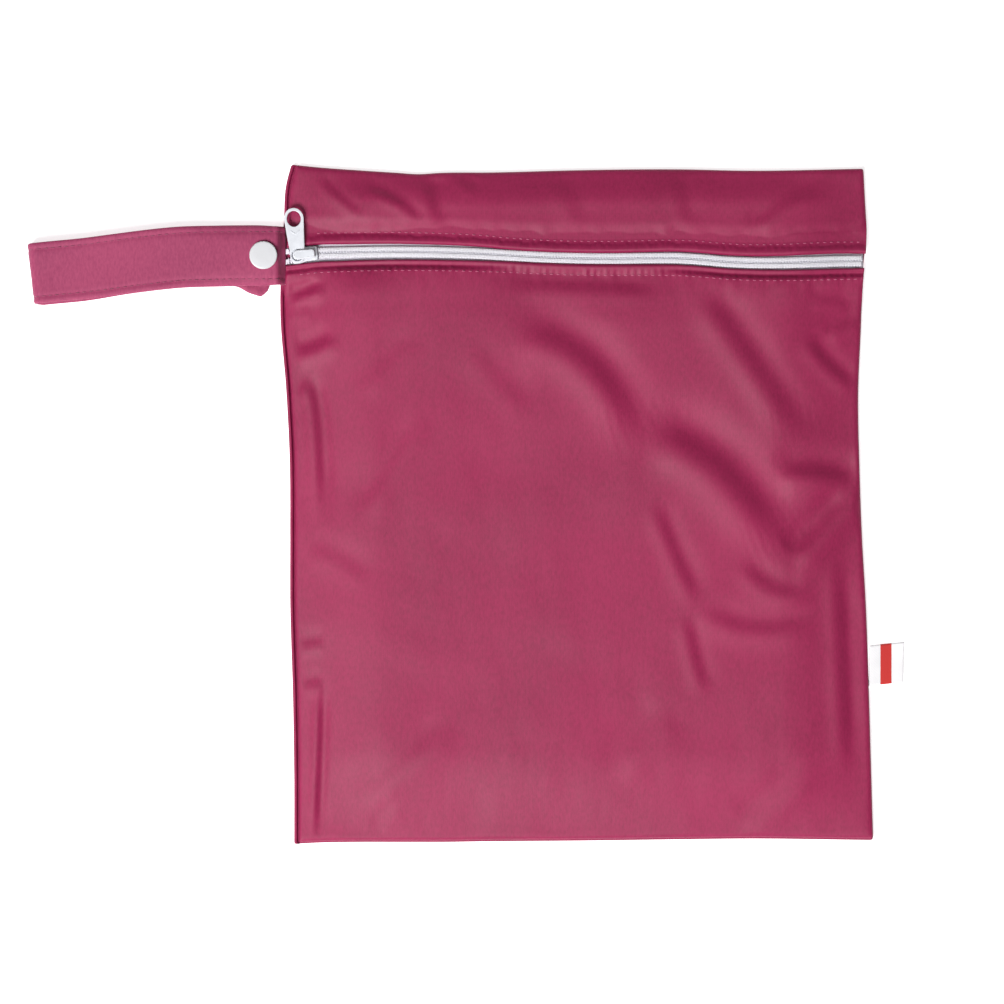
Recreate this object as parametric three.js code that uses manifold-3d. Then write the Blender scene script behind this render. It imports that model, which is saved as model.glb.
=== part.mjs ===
import * as THREE from 'three';
import { mergeVertices } from 'three/addons/utils/BufferGeometryUtils.js';
import Module from 'manifold-3d';

// A flat zip pouch of soft cloth that lies on its back, with a snap strap on its left seam.
// Millimetres. X runs along the zip, Y up the pouch, Z up off the surface. The origin is under its middle.

const wasm = await Module();
wasm.setup();

// The photograph: millimetres in a pixel, the pixel column of the pouch's left side and the row of its head
const pixel = 0.4444;
const leftColumn = 291.5;
const headRow = 170.1;

// Pouch
const pouchWidth = 256;
const pouchHeight = 299;
const pouchCrown = 10.4;
const cloth = 1.2;
const gap = 0.3;
const edgeRun = 40;
const edgeRise = 1.2;
const edgeRoll = 2.2;
const cornerRadius = 1;
const rimWidth = 2.2;
const rimRise = 1.2;

// Zip
const zipLift = 3;
const tapeThickness = 0.8;
const tapeReach = 12;
const coilWidth = 1.95;
const coilHeight = 1.6;
const coilSplit = 0.3;
const hemThickness = 1.2;
const hemWidth = 5.2;
const hemPuff = 1.2;
const grooveDepth = 0.7;
const bendFromLeft = 15;

// Slider
const sliderLength = 12.2;
const sliderInset = 2.7;
const shoulderWidth = 7.5;
const tailWidth = 6.1;
const lowerPlate = 0.8;
const upperPlate = 0.9;
const wedgeRadius = 0.8;
const flangeThickness = 0.5;
const crownWidth = 4.3;
const crownBeam = 0.9;
const crownLeg = 1.3;
const sliderTilt = 6.5;

// Puller
const pullerThickness = 1;
const pullerPlateWidth = 6.8;
const pullerReach = 16.2;
const ringWidth = 8.8;
const ringLength = 9.7;
const ringHoleWidth = 6;
const ringHoleLength = 6.8;
const eyeClearance = 0.5;
const pullerLean = 6;

// Strap
const strapWidth = 27;
const strapLength = 112;
const strapThickness = 1.6;
const loopGap = 4.9;
const strapDroop = 2;
const seamTaper = 0.04;
const backShift = 0.7;
const freeEndLap = 6.2;
const freeEndTurn = 18;
const freeEndRound = 2.6;
const freeEndFlare = 1.32;
const freeEndTrim = 0.62;

// Snap
const snapDiameter = 12.4;
const capThickness = 1.5;
const backCapThickness = 1.3;
const studDiameter = 10.4;
const studNub = 3.6;
const studBase = 1;
const socketThickness = 1.4;
const snapInset = 9.2;

// Side label
const labelReach = 15;
const labelWidth = 18;
const labelThickness = 1.2;

// Outline of the pouch from its foot (0) to its head (1): how far each side stands out, in shares of its width
const sideRows = [
  { at: 0, left: -0.004, right: 0.011 },
  { at: 0.09, left: -0.004, right: 0.008 },
  { at: 0.21, left: -0.002, right: 0.004 },
  { at: 0.36, left: 0.003, right: -0.002 },
  { at: 0.45, left: 0.003, right: -0.008 },
  { at: 0.57, left: 0.004, right: -0.013 },
  { at: 0.67, left: 0.01, right: -0.015 },
  { at: 0.78, left: 0.02, right: -0.01 },
  { at: 0.83, left: 0.02, right: -0.008 },
  { at: 0.92, left: 0.014, right: -0.001 },
  { at: 0.97, left: 0.01, right: -0.004 },
  { at: 1, left: 0.001, right: -0.006 },
];

// From left (0) to right (1): how far the head and the foot stand out, in shares of the height
const endRows = [
  { at: 0, head: 0.009, foot: 0.003 },
  { at: 0.045, head: 0.005, foot: 0.001 },
  { at: 0.115, head: 0.0006, foot: 0 },
  { at: 0.18, head: -0.003, foot: 0 },
  { at: 0.221, head: -0.0052, foot: 0 },
  { at: 0.256, head: -0.0034, foot: 0 },
  { at: 0.345, head: -0.0027, foot: -0.001 },
  { at: 0.5, head: 0.0007, foot: -0.002 },
  { at: 0.68, head: 0.0019, foot: -0.004 },
  { at: 0.785, head: 0, foot: -0.005 },
  { at: 1, head: 0.003, foot: -0.003 },
];

// The zip from left to right, in the photograph's pixels: its middle and the width of its open band
const zipRows = [
  { at: 291, middle: 252.9, band: 17 },
  { at: 328, middle: 252.6, band: 16.6 },
  { at: 364, middle: 251.9, band: 15.8 },
  { at: 394, middle: 251.7, band: 15.5 },
  { at: 424, middle: 252.1, band: 15 },
  { at: 460, middle: 253, band: 14.3 },
  { at: 484, middle: 254, band: 13.3 },
  { at: 508, middle: 255.5, band: 11.6 },
  { at: 532, middle: 256.8, band: 11.1 },
  { at: 556, middle: 257.8, band: 11 },
  { at: 620, middle: 258.6, band: 11.2 },
  { at: 650, middle: 258.2, band: 12 },
  { at: 682, middle: 258.4, band: 12.8 },
  { at: 703, middle: 259.8, band: 12.8 },
  { at: 724, middle: 261.7, band: 12.9 },
  { at: 748, middle: 262.8, band: 12.9 },
  { at: 784, middle: 262.9, band: 13.6 },
  { at: 808, middle: 262.1, band: 14.4 },
  { at: 836, middle: 261, band: 14.7 },
  { at: 868, middle: 260.6, band: 14 },
];

// Folds of the front, each down a curve over three places, in the photograph's pixels. The cloth falls towards
// the left of the run, most steeply over twice the spread. Spread and drop are in millimetres
const foldRows = [
  { run: [[508, 334], [594, 320], [644, 450]], spread: 6, drop: 1.6 },
  { run: [[646, 428], [722, 438], [792, 558]], spread: 7, drop: 2.2 },
  { run: [[788, 558], [815, 540], [862, 478]], spread: 5.2, drop: 1.5 },
  { run: [[772, 474], [812, 462], [862, 485]], spread: 5, drop: 1.4 },
  { run: [[700, 286], [744, 345], [806, 440]], spread: 4.6, drop: 1.25 },
  { run: [[806, 334], [826, 368], [858, 386]], spread: 3.6, drop: 0.85 },
  { run: [[655, 500], [672, 550], [700, 604]], spread: 4, drop: 0.65 },
  { run: [[687, 615], [692, 650], [708, 695]], spread: 4, drop: 0.55 },
  { run: [[738, 556], [775, 604], [808, 586]], spread: 4, drop: 0.7 },
  { run: [[698, 608], [760, 642], [818, 616]], spread: 4.2, drop: 0.75 },
  { run: [[838, 555], [843, 650], [848, 780]], spread: 4, drop: 0.8 },
  { run: [[306, 380], [320, 390], [321, 525]], spread: 4, drop: 1 },
  { run: [[321, 680], [320, 760], [315, 843]], spread: 4, drop: 0.8 },
  { run: [[293, 350], [314, 349], [336, 335]], spread: 4, drop: 0.7 },
  { run: [[360, 516], [392, 468], [420, 415]], spread: 4.4, drop: 0.5 },
  { run: [[360, 802], [400, 764], [452, 720]], spread: 4.4, drop: 0.65 },
  { run: [[610, 778], [640, 738], [668, 708]], spread: 6.6, drop: 0.5 },
  { run: [[735, 824], [775, 806], [814, 760]], spread: 5.2, drop: 0.55 },
  { run: [[505, 284], [585, 284], [668, 291]], spread: 4, drop: 0.55 },
  { run: [[364, 188], [398, 194], [426, 226]], spread: 4, drop: 0.6 },
  { run: [[424, 174], [432, 200], [438, 228]], spread: 4, drop: 0.7 },
  { run: [[748, 232], [775, 206], [822, 186]], spread: 4, drop: 0.75 },
];

// The strap from its seam (0) to its fold (1) and past it: its sideways shift in shares of its width, its rise
// from the seam in shares of the open loop
const strapRows = [
  { at: 0, shift: 0, up: 0 },
  { at: 0.01, shift: 0, up: 0.22 },
  { at: 0.02, shift: 0, up: 0.54 },
  { at: 0.03, shift: 0, up: 0.9 },
  { at: 0.045, shift: 0, up: 1 },
  { at: 0.055, shift: 0, up: 1 },
  { at: 0.16, shift: 0, up: 1 },
  { at: 0.27, shift: -0.006, up: 1 },
  { at: 0.45, shift: -0.033, up: 1.02 },
  { at: 0.5, shift: -0.053, up: 1.02 },
  { at: 0.69, shift: -0.148, up: 1.02 },
  { at: 0.8, shift: -0.207, up: 1.01 },
  { at: 1, shift: -0.287, up: 1 },
  { at: 1.15, shift: -0.362, up: 1 },
];

// Plain helpers

function smooth(t) {
  const c = Math.min(1, Math.max(0, t));
  return c * c * (3 - 2 * c);
}

function slopeOf(rows, column, i) {
  const rise = (a, b) => (rows[b][column] - rows[a][column]) / (rows[b].at - rows[a].at);
  if (i === 0) return rise(0, 1);
  if (i === rows.length - 1) return rise(i - 1, i);
  const before = rows[i].at - rows[i - 1].at;
  const after = rows[i + 1].at - rows[i].at;
  return (rise(i - 1, i) * after + rise(i, i + 1) * before) / (before + after);
}

// A smooth curve through one column of a table
function read(rows, column, at) {
  const last = rows.length - 1;
  const place = Math.min(rows[last].at, Math.max(rows[0].at, at));
  let i = 0;
  while (i < last - 1 && rows[i + 1].at <= place) i += 1;
  const long = rows[i + 1].at - rows[i].at;
  const t = (place - rows[i].at) / long;
  const lead = slopeOf(rows, column, i) * long * t * (1 - t) ** 2;
  const trail = slopeOf(rows, column, i + 1) * long * t * t * (1 - t);
  return rows[i][column] + (rows[i + 1][column] - rows[i][column]) * smooth(t) + lead - trail;
}

function spread(total, first, last, pitch) {
  const from = first[first.length - 1];
  const to = total - last[last.length - 1];
  const count = Math.max(1, Math.round((to - from) / pitch));
  const middle = Array.from({ length: count - 1 }, (_, i) => from + ((to - from) * (i + 1)) / count);
  return [...first, ...middle, ...last.map((d) => total - d).reverse()].map((d) => d / total);
}

function solidGeometry(points, triangles) {
  const geometry = new THREE.BufferGeometry();
  geometry.setAttribute('position', new THREE.Float32BufferAttribute(points.flat(), 3));
  geometry.setIndex(triangles.flat());
  geometry.computeVertexNormals();
  return geometry;
}

// A closed sheet over a grid of columns and rows: corner(c, r) gives x, y, the upper and the lower height
function sheetSolid(columns, rows, corner) {
  const points = [];
  const faces = [];
  const count = columns.length * rows.length;
  const id = (c, r, low) => r * columns.length + c + (low ? count : 0);
  const quads = (a, b, c, d) => faces.push([a, b, c], [a, c, d]);
  const grid = rows.map((v) => columns.map((u) => corner(u, v)));
  grid.flat().forEach((p) => points.push([p.x, p.y, p.top]));
  grid.flat().forEach((p) => points.push([p.x, p.y, p.bottom]));
  for (let r = 0; r < rows.length - 1; r += 1) {
    for (let c = 0; c < columns.length - 1; c += 1) {
      quads(id(c, r), id(c + 1, r), id(c + 1, r + 1), id(c, r + 1));
      quads(id(c, r, 1), id(c, r + 1, 1), id(c + 1, r + 1, 1), id(c + 1, r, 1));
    }
  }
  for (let c = 0; c < columns.length - 1; c += 1) {
    const end = rows.length - 1;
    quads(id(c, 0, 1), id(c + 1, 0, 1), id(c + 1, 0), id(c, 0));
    quads(id(c + 1, end, 1), id(c, end, 1), id(c, end), id(c + 1, end));
  }
  for (let r = 0; r < rows.length - 1; r += 1) {
    const end = columns.length - 1;
    quads(id(0, r + 1, 1), id(0, r, 1), id(0, r), id(0, r + 1));
    quads(id(end, r, 1), id(end, r + 1, 1), id(end, r + 1), id(end, r));
  }
  return solidGeometry(points, faces);
}

function manifold(geometry) {
  const bare = geometry.clone();
  bare.deleteAttribute('normal');
  bare.deleteAttribute('uv');
  const merged = mergeVertices(bare, 1e-4);
  const vertProperties = new Float32Array(merged.attributes.position.array);
  const triVerts = new Uint32Array(merged.index.array);
  return new wasm.Manifold(new wasm.Mesh({ numProp: 3, vertProperties, triVerts }));
}

function fused(parts) {
  const whole = parts.map(manifold).reduce((sum, part) => sum.add(part));
  const mesh = whole.getMesh();
  const geometry = new THREE.BufferGeometry();
  geometry.setAttribute('position', new THREE.BufferAttribute(new Float32Array(mesh.vertProperties), 3));
  geometry.setIndex(new THREE.BufferAttribute(new Uint32Array(mesh.triVerts), 1));
  geometry.computeVertexNormals();
  return geometry;
}

// The zip's line and levels

const shareX = (x) => x / pouchWidth + 0.5;
const placeX = (column) => (column - leftColumn) * pixel - pouchWidth / 2;
const placeY = (row) => pouchHeight / 2 - (row - headRow) * pixel;
const columnAt = (x) => (x + pouchWidth / 2) / pixel + leftColumn;
const levelZipY = (x) => placeY(read(zipRows, 'middle', columnAt(x)));
const half = (x) => (read(zipRows, 'band', columnAt(x)) * pixel) / 2;
const tilt = THREE.MathUtils.degToRad(sliderTilt);

// The zip's left end bends down towards the strap
function zipY(x) {
  const past = Math.max(0, bendFromLeft - pouchWidth / 2 - x);
  return levelZipY(x) - (Math.tan(tilt) * past * past) / (past + 4);
}

const onBack = cloth + gap;
const tapeLevel = onBack + lowerPlate + gap;

function lift(x) {
  const fromLeft = smooth((x + pouchWidth / 2 - 18) / 45);
  const fromRight = smooth((pouchWidth / 2 - x - 3) / 30);
  return zipLift * fromLeft * fromRight;
}

const tapeTop = (x) => tapeLevel + lift(x) + tapeThickness;
const coilTop = (x) => tapeTop(x) + gap + coilHeight;

// Outline

function cornerCut(distance) {
  const t = Math.max(0, cornerRadius - distance) / cornerRadius;
  return cornerRadius * (1 - Math.sqrt(1 - t * t));
}

function outline(u, v) {
  const ends = Math.min(v, 1 - v) * pouchHeight;
  const left = -pouchWidth * (0.5 + read(sideRows, 'left', v)) + cornerCut(ends);
  const right = pouchWidth * (0.5 + read(sideRows, 'right', v)) - cornerCut(ends);
  const foot = -pouchHeight * (0.5 + read(endRows, 'foot', u));
  const head = pouchHeight * (0.5 + read(endRows, 'head', u));
  return { left, right, foot, head };
}

// Folds

const folds = foldRows.map((row) => {
  const [a, b, c] = row.run.map(([column, line]) => new THREE.Vector2(placeX(column), placeY(line)));
  const curve = new THREE.QuadraticBezierCurve(a, b, c);
  const points = curve.getPoints(24);
  const ahead = points.map((_, i) => curve.getTangent(i / 24));
  return { points, ahead, spread: row.spread, drop: row.drop };
});

function foldLift(x, y) {
  let sum = 0;
  for (const fold of folds) {
    const aways = fold.points.map((point) => Math.hypot(x - point.x, y - point.y));
    const i = aways.indexOf(Math.min(...aways));
    const off = { x: x - fold.points[i].x, y: y - fold.points[i].y };
    const aside = (fold.ahead[i].x * off.y - fold.ahead[i].y * off.x) / fold.spread;
    const beyond = (fold.ahead[i].x * off.x + fold.ahead[i].y * off.y) / fold.spread;
    const along = i / (fold.points.length - 1);
    const taper = smooth(0.12 + Math.min(along, 1 - along) / 0.3);
    sum -= fold.drop * taper * aside * Math.exp(0.5 - aside ** 2 / 2 - beyond ** 2 / 2);
  }
  return sum;
}

// Front of the pouch: the height of its upper face and of its lower face

function rounded(distance, run) {
  const t = Math.min(1, Math.max(0, 1 - distance / run));
  return (1 - t * t) ** 0.6;
}

function climb(distance) {
  const t = distance / edgeRun;
  return smooth(t * 0.86 + 0.14) - smooth(0.14) * (1 - smooth(t));
}

function pullerBed(x, y) {
  const bed = coilTop(-pouchWidth / 2) + gap + upperPlate;
  const away = Math.hypot(x - pivot.x - 2, y - pivot.y - pullerReach * 0.7);
  return bed - 0.2 + pouchCrown * smooth((away - pullerReach * 1.1) / pullerReach);
}

function frontHeights(x, y, edge, fromFold) {
  const onTape = tapeTop(x) + gap - onBack;
  const away = Math.abs(y - zipY(x)) - tapeReach;
  const floor = onBack + onTape * (1 - smooth(away / 12));
  const roll = rounded(fromFold, hemWidth / 4);
  const hem = hemThickness * (1 - smooth((fromFold - hemWidth + 0.8) / 1.6));
  const wall = cloth + hem * roll - cloth * 0.3 * (1 - roll);
  const low = onBack + cloth;
  const sides = climb(edge.left) * climb(edge.right) * climb(edge.end);
  const nearest = Math.min(edge.left, edge.right, edge.end);
  const brim = low + edgeRise * rounded(nearest, edgeRoll);
  const crown = pouchCrown * (0.84 + 0.16 * smooth((y / pouchHeight - 0.02) / 0.34));
  const open = brim + (crown - low - edgeRise) * sides + foldLift(x, y) * smooth(nearest / 7);
  const atZip = tapeTop(x) + gap + wall;
  const pull = smooth(fromFold / (hemWidth * 3.4)) ** 0.75;
  const past = fromFold - hemWidth;
  const groove = grooveDepth * Math.exp(-((past / 1.4) ** 2));
  const puff = hemPuff * smooth((past + 0.7) / 1.9) * Math.exp(-Math.max(0, past) / 15);
  const height = Math.min(atZip + (open - atZip) * pull - groove + puff, pullerBed(x, y));
  const top = Math.max(height, floor + wall);
  return { top, bottom: Math.max(top - wall, floor) };
}

function frontColumn(u, v) {
  const lines = outline(u, v);
  const x = lines.left + rimWidth + (lines.right - lines.left - rimWidth) * u;
  return { x, lines };
}

const sideSteps = [0, 1.2, 3.5, 7, 12];
const endSteps = [0, 1.2, 3.5, 7, 12];
const foldSteps = [0, 0.7, 2.4, 4.2, hemWidth, 6.4, 9, 14];
const shortFoldSteps = foldSteps.slice(0, 6);
const columns = spread(pouchWidth, sideSteps, sideSteps, 8.9);
const upperTall = pouchHeight / 2 - zipY(0) - half(0);
const lowerTall = pouchHeight / 2 + zipY(0) - half(0);

function lowerFront() {
  const foot = (x) => outline(shareX(x), 0).foot + rimWidth * 0.4;
  const fold = (x) => zipY(x) - half(x);
  const rows = spread(lowerTall, endSteps, foldSteps, 9);
  return sheetSolid(columns, rows, (u, t) => {
    const { x, lines } = frontColumn(u, (t * lowerTall) / pouchHeight);
    const y = foot(x) + (fold(x) - foot(x)) * t;
    const edge = { left: x - lines.left - rimWidth, right: lines.right - x, end: y - foot(x) };
    return { x, y, ...frontHeights(x, y, edge, (1 - t) * lowerTall) };
  });
}

function upperFront() {
  const head = (x) => outline(shareX(x), 1).head;
  const fold = (x) => zipY(x) + half(x);
  const rows = spread(upperTall, shortFoldSteps, endSteps, 6);
  return sheetSolid(columns, rows, (u, t) => {
    const fromHead = (1 - t) * upperTall;
    const { x, lines } = frontColumn(u, 1 - fromHead / pouchHeight);
    const y = fold(x) + (head(x) - fold(x)) * t;
    const edge = { left: x - lines.left - rimWidth, right: lines.right - x, end: fromHead };
    return { x, y, ...frontHeights(x, y, edge, t * upperTall) };
  });
}

// Back of the pouch: flat where it lies, its left rim turned up beside the front

function back() {
  const across = spread(pouchWidth, [0, 0.6, rimWidth - 0.9, rimWidth - 0.6, 10], [0, 10], 34);
  const up = spread(pouchHeight, endSteps, endSteps, 17);
  return sheetSolid(across, up, (u, v) => {
    const lines = outline(u, v);
    const x = lines.left + (lines.right - lines.left) * u;
    const y = outline(shareX(x), v).foot * (1 - v) + outline(shareX(x), v).head * v;
    const fromStrap = Math.abs(y - strapY) - strapWidth / 2 - 2;
    const rim = rimRise * smooth(fromStrap / 6) * (x - lines.left < rimWidth - 0.75 ? 1 : 0);
    const soft = x - lines.left < 0.3 ? 0.45 : 0;
    return { x, y, top: cloth + rim - soft, bottom: soft };
  });
}

// Zip tapes and the two rows of coil

const zipStart = -pouchWidth / 2 - 2.6;
const sliderStart = -pouchWidth / 2 - rimWidth - 1.1 + sliderInset;
const wedgeX = sliderStart + wedgeRadius * 2;

function innerEdge(x) {
  const open = wedgeRadius + gap - coilSplit / 2;
  return coilSplit / 2 + open * (1 - smooth((x - wedgeX) / (sliderLength / 3)));
}

function alongZip(side, near, far, begin, stop, top, bottom, across) {
  const steps = [0, 2, 4, 6, 8, 12];
  const long = stop - begin;
  return sheetSolid(spread(long, steps, [0, 4], 11), across, (u, v) => {
    const x = begin + long * u;
    const t = side > 0 ? v : 1 - v;
    const offset = near(x) + (far(x) - near(x)) * t;
    return { x, y: zipY(x) + side * offset, top: top(x, t), bottom: bottom(x, t) };
  });
}

function tape(side) {
  const stop = outline(1, 0.87).right - 0.9;
  const level = (x) => tapeLevel + lift(x);
  return alongZip(side, innerEdge, () => tapeReach, zipStart, stop, tapeTop, level, [0, 1]);
}

function coil(side) {
  const stop = outline(1, 0.87).right - 1.3;
  const far = (x) => innerEdge(x) + coilWidth;
  const bulge = (t) => Math.sin(Math.PI * Math.min(0.93, Math.max(0.07, t))) ** 0.6;
  const base = (x) => tapeTop(x) + gap;
  const top = (x, t) => base(x) + coilHeight * (0.35 + 0.65 * bulge(t));
  return alongZip(side, innerEdge, far, zipStart + 0.8, stop, top, base, [0, 0.25, 0.5, 0.75, 1]);
}

// Slider: two plates on a wedge, flanges beside the coil, and the crown that holds the puller

const pivotX = sliderStart + 3.4;
const pivot = { x: pivotX, y: zipY(pivotX) };
const strapY = levelZipY(-pouchWidth / 2) - 1.15;
const upperPlateLevel = tapeLevel + tapeThickness + gap + coilHeight + gap;
const pullerLevel = upperPlateLevel + upperPlate + gap;
const beamLevel = pullerLevel + pullerThickness + gap;

function extrude(shape, height, level, segments = 6) {
  const options = { depth: height, bevelEnabled: false, curveSegments: segments };
  return new THREE.ExtrudeGeometry(shape, options).translate(0, 0, level);
}

function sliderPlan() {
  const nose = shoulderWidth / 2;
  const tail = tailWidth / 2;
  const shape = new THREE.Shape();
  shape.moveTo(0, -nose + 1.6);
  shape.quadraticCurveTo(0.2, -nose, 2, -nose);
  shape.lineTo(4, -nose);
  shape.lineTo(sliderLength * 0.6, -tail);
  shape.lineTo(sliderLength, -tail);
  shape.lineTo(sliderLength, tail);
  shape.lineTo(sliderLength * 0.6, tail);
  shape.lineTo(4, nose);
  shape.lineTo(2, nose);
  shape.quadraticCurveTo(0.2, nose, 0, nose - 1.6);
  return shape;
}

function post(radius, height, x, y, level, sides) {
  const geometry = new THREE.CylinderGeometry(radius, radius, height, sides);
  return geometry.rotateX(Math.PI / 2).translate(x, y, level + height / 2);
}

function block(x1, x2, y1, y2, z1, z2) {
  const geometry = new THREE.BoxGeometry(x2 - x1, y2 - y1, z2 - z1);
  return geometry.translate((x1 + x2) / 2, (y1 + y2) / 2, (z1 + z2) / 2);
}

function slider() {
  const lap = 0.05;
  const plan = sliderPlan();
  const end = sliderStart + sliderLength;
  const place = (geometry) => geometry.translate(sliderStart, pivot.y, 0);
  const legEnd = end - 1.2;
  const crownTop = beamLevel + crownBeam;
  const crownNear = pivot.y - crownWidth / 2;
  const crownFar = pivot.y + crownWidth / 2;
  const wedgeBase = onBack + lowerPlate - lap;
  const crownBase = upperPlateLevel + upperPlate - lap;
  const flangeFrom = wedgeX + sliderLength / 3;
  const flangeIn = coilSplit / 2 + coilWidth + gap;
  const flange = (side) => {
    const a = pivot.y + side * flangeIn;
    const b = pivot.y + side * (flangeIn + flangeThickness);
    const low = tapeLevel + tapeThickness + gap * 2;
    return block(flangeFrom, end, Math.min(a, b), Math.max(a, b), low, upperPlateLevel + lap);
  };
  const casting = fused([
    place(extrude(plan, lowerPlate, onBack)),
    place(extrude(plan, upperPlate, upperPlateLevel)),
    post(wedgeRadius, upperPlateLevel - wedgeBase + lap, wedgeX, pivot.y, wedgeBase, 10),
    flange(1),
    flange(-1),
    post(crownWidth / 2, crownTop - crownBase, pivot.x, pivot.y, crownBase, 20),
    block(pivot.x, legEnd, crownNear, crownFar, beamLevel, crownTop),
    block(legEnd - crownLeg, legEnd, crownNear, crownFar, crownBase, crownTop),
  ]);
  return casting.translate(-pivot.x, -pivot.y, 0).rotateZ(tilt).translate(pivot.x, pivot.y, 0);
}

// Puller: a flat pull with an eye round the crown's nose and a ring at its end

function puller() {
  const side = pullerPlateWidth / 2;
  const shape = new THREE.Shape();
  shape.absarc(0, 0, side, Math.PI, 0, false);
  shape.lineTo(ringWidth / 2, pullerReach);
  shape.absellipse(0, pullerReach, ringWidth / 2, ringLength / 2, 0, Math.PI, false);
  const eye = new THREE.Path();
  eye.absarc(0, 0, crownWidth / 2 + eyeClearance, 0, Math.PI * 2, true);
  const hole = new THREE.Path();
  hole.absellipse(0, pullerReach, ringHoleWidth / 2, ringHoleLength / 2, 0, Math.PI * 2, true);
  shape.holes.push(eye, hole);
  return extrude(shape, pullerThickness, pullerLevel, 9).rotateZ(THREE.MathUtils.degToRad(pullerLean))
    .translate(pivot.x, pivot.y, 0);
}

// Strap: one band from the seam out to its fold and back under itself

const shareY = (y) => y / pouchHeight + 0.5;
const seamPlaces = [-0.5, 0, 0.5].map((w) => shareY(strapY + w * strapWidth));
const seamStand = Math.max(...seamPlaces.map((at) => read(sideRows, 'left', at)));
const strapStart = -pouchWidth * (0.5 + seamStand) + rimWidth - gap;
const snapX = strapStart - snapInset;
const foldRadius = (loopGap + strapThickness) / 2;
const backLevel = backCapThickness + gap;

function strapStations() {
  const long = strapLength - foldRadius;
  const open = loopGap + strapThickness;
  const stations = [];
  const lean = THREE.MathUtils.degToRad(-freeEndTurn);
  const shiftAt = (t) => strapWidth * read(strapRows, 'shift', t);
  const slopeAt = (t) => Math.atan2(shiftAt(t - 0.02) - shiftAt(t + 0.02), 0.04 * long);
  const near = [0, 0.01, 0.02, 0.03, 0.045, 0.06, 0.08, 0.11, 0.15];
  const far = [0.2, 0.27, 0.36, 0.46, 0.56, 0.67, 0.78, 0.89];
  for (const t of [...near, ...far]) {
    const up = strapThickness / 2 + onBack + (open - onBack) * read(strapRows, 'up', t);
    const droop = strapDroop * smooth((t - 0.012) / 0.035) * (1 - smooth((t - 0.15) / 0.4));
    const x = strapStart - long * t;
    const wide = 1 - seamTaper * (1 - smooth(t / 0.12));
    stations.push({ x, y: strapY + shiftAt(t), z: up, turn: slopeAt(t), droop, low: wide, high: wide });
  }
  for (let i = 0; i <= 8; i += 1) {
    const angle = (Math.PI * i) / 8;
    const x = strapStart - long - foldRadius * Math.sin(angle);
    const z = strapThickness / 2 + foldRadius * (1 + Math.cos(angle));
    const y = strapY + shiftAt(1) - backShift * (i / 8);
    stations.push({ x, y, z, turn: slopeAt(1), droop: 0, low: 1, high: 1 });
  }
  const end = (snapInset - freeEndLap) / long;
  for (let i = 1; i <= 14; i += 1) {
    const t = 1 + (end - 1) * (1 - (1 - i / 14) ** 1.5);
    const fromEnd = (t - end) * long;
    const wide = 1 - (freeEndRound / strapWidth) * 2 * (1 - Math.sqrt(smooth(fromEnd / freeEndRound)));
    const close = 1 - smooth((t - snapInset / long) / 0.2);
    const twist = lean * close;
    const past = strapStart - long * t - snapX;
    const y = strapY + shiftAt(t) - backShift * smooth((t - 0.62) / 0.25) + Math.sin(twist) * past * close;
    const up = strapThickness / 2 + backLevel * (1 - smooth((t - (snapInset + 7) / long) / 0.12));
    const low = wide * (1 + (freeEndFlare - 1) * close ** 2);
    const high = wide * (1 - (1 - freeEndTrim) * close ** 2);
    stations.push({ x: strapStart - long * t, y, z: up, turn: slopeAt(t) + twist, droop: 0, low, high });
  }
  return stations;
}

function strap() {
  const stations = strapStations();
  const ring = [-1, -0.5, 0, 0.5, 1];
  const points = [];
  stations.forEach((here, i) => {
    const before = stations[Math.max(0, i - 1)];
    const after = stations[Math.min(stations.length - 1, i + 1)];
    const along = new THREE.Vector3(after.x - before.x, 0, after.z - before.z).normalize();
    const inward = new THREE.Vector3(along.z, 0, -along.x).multiplyScalar(-1);
    const place = (w, face) => {
      const reach = (strapWidth / 2) * w * (w < 0 ? here.low : here.high);
      const shift = (strapThickness / 2) * face;
      const x = here.x - Math.sin(here.turn) * reach + inward.x * shift;
      const y = here.y + Math.cos(here.turn) * reach;
      return [x, y, here.z - here.droop * w ** 4 + inward.z * shift];
    };
    ring.forEach((w) => points.push(place(w, 1)));
    [...ring].reverse().forEach((w) => points.push(place(w, -1)));
  });
  const size = ring.length * 2;
  const faces = [];
  for (let i = 0; i < stations.length - 1; i += 1) {
    for (let k = 0; k < size; k += 1) {
      const a = i * size + k;
      const b = i * size + ((k + 1) % size);
      faces.push([a, b + size, b], [a, a + size, b + size]);
    }
  }
  const last = (stations.length - 1) * size;
  for (let k = 0; k < ring.length - 1; k += 1) {
    const m = size - 1 - k;
    faces.push([k, k + 1, m], [m, k + 1, m - 1]);
    faces.push([last + k, last + m, last + k + 1], [last + m, last + m - 1, last + k + 1]);
  }
  return solidGeometry(points, faces);
}

// Snap: a cap over the strap, the stud and the socket between its two layers, and a cap under it

const studLevel = backLevel + strapThickness + gap;
const socketLevel = studLevel + studBase + gap;
const topLayer = strapThickness + loopGap;
const capLevel = topLayer + strapThickness + gap;

function turned(profile, level) {
  const geometry = new THREE.LatheGeometry(profile.map(([r, z]) => new THREE.Vector2(r, z)), 20);
  return geometry.rotateX(Math.PI / 2).translate(snapX, strapY, level);
}

function frontCap() {
  const r = snapDiameter / 2;
  const t = capThickness;
  const dome = [[r - 0.2, t * 0.55], [r * 0.75, t * 0.9], [0, t]];
  return turned([[0, 0], [r - 0.4, 0], [r, t * 0.25], ...dome], capLevel);
}

function backCap() {
  const r = snapDiameter / 2;
  const t = backCapThickness;
  return turned([[0, 0], [r * 0.8, 0], [r, t * 0.45], [r, t * 0.8], [r - 0.3, t], [0, t]], 0);
}

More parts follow.
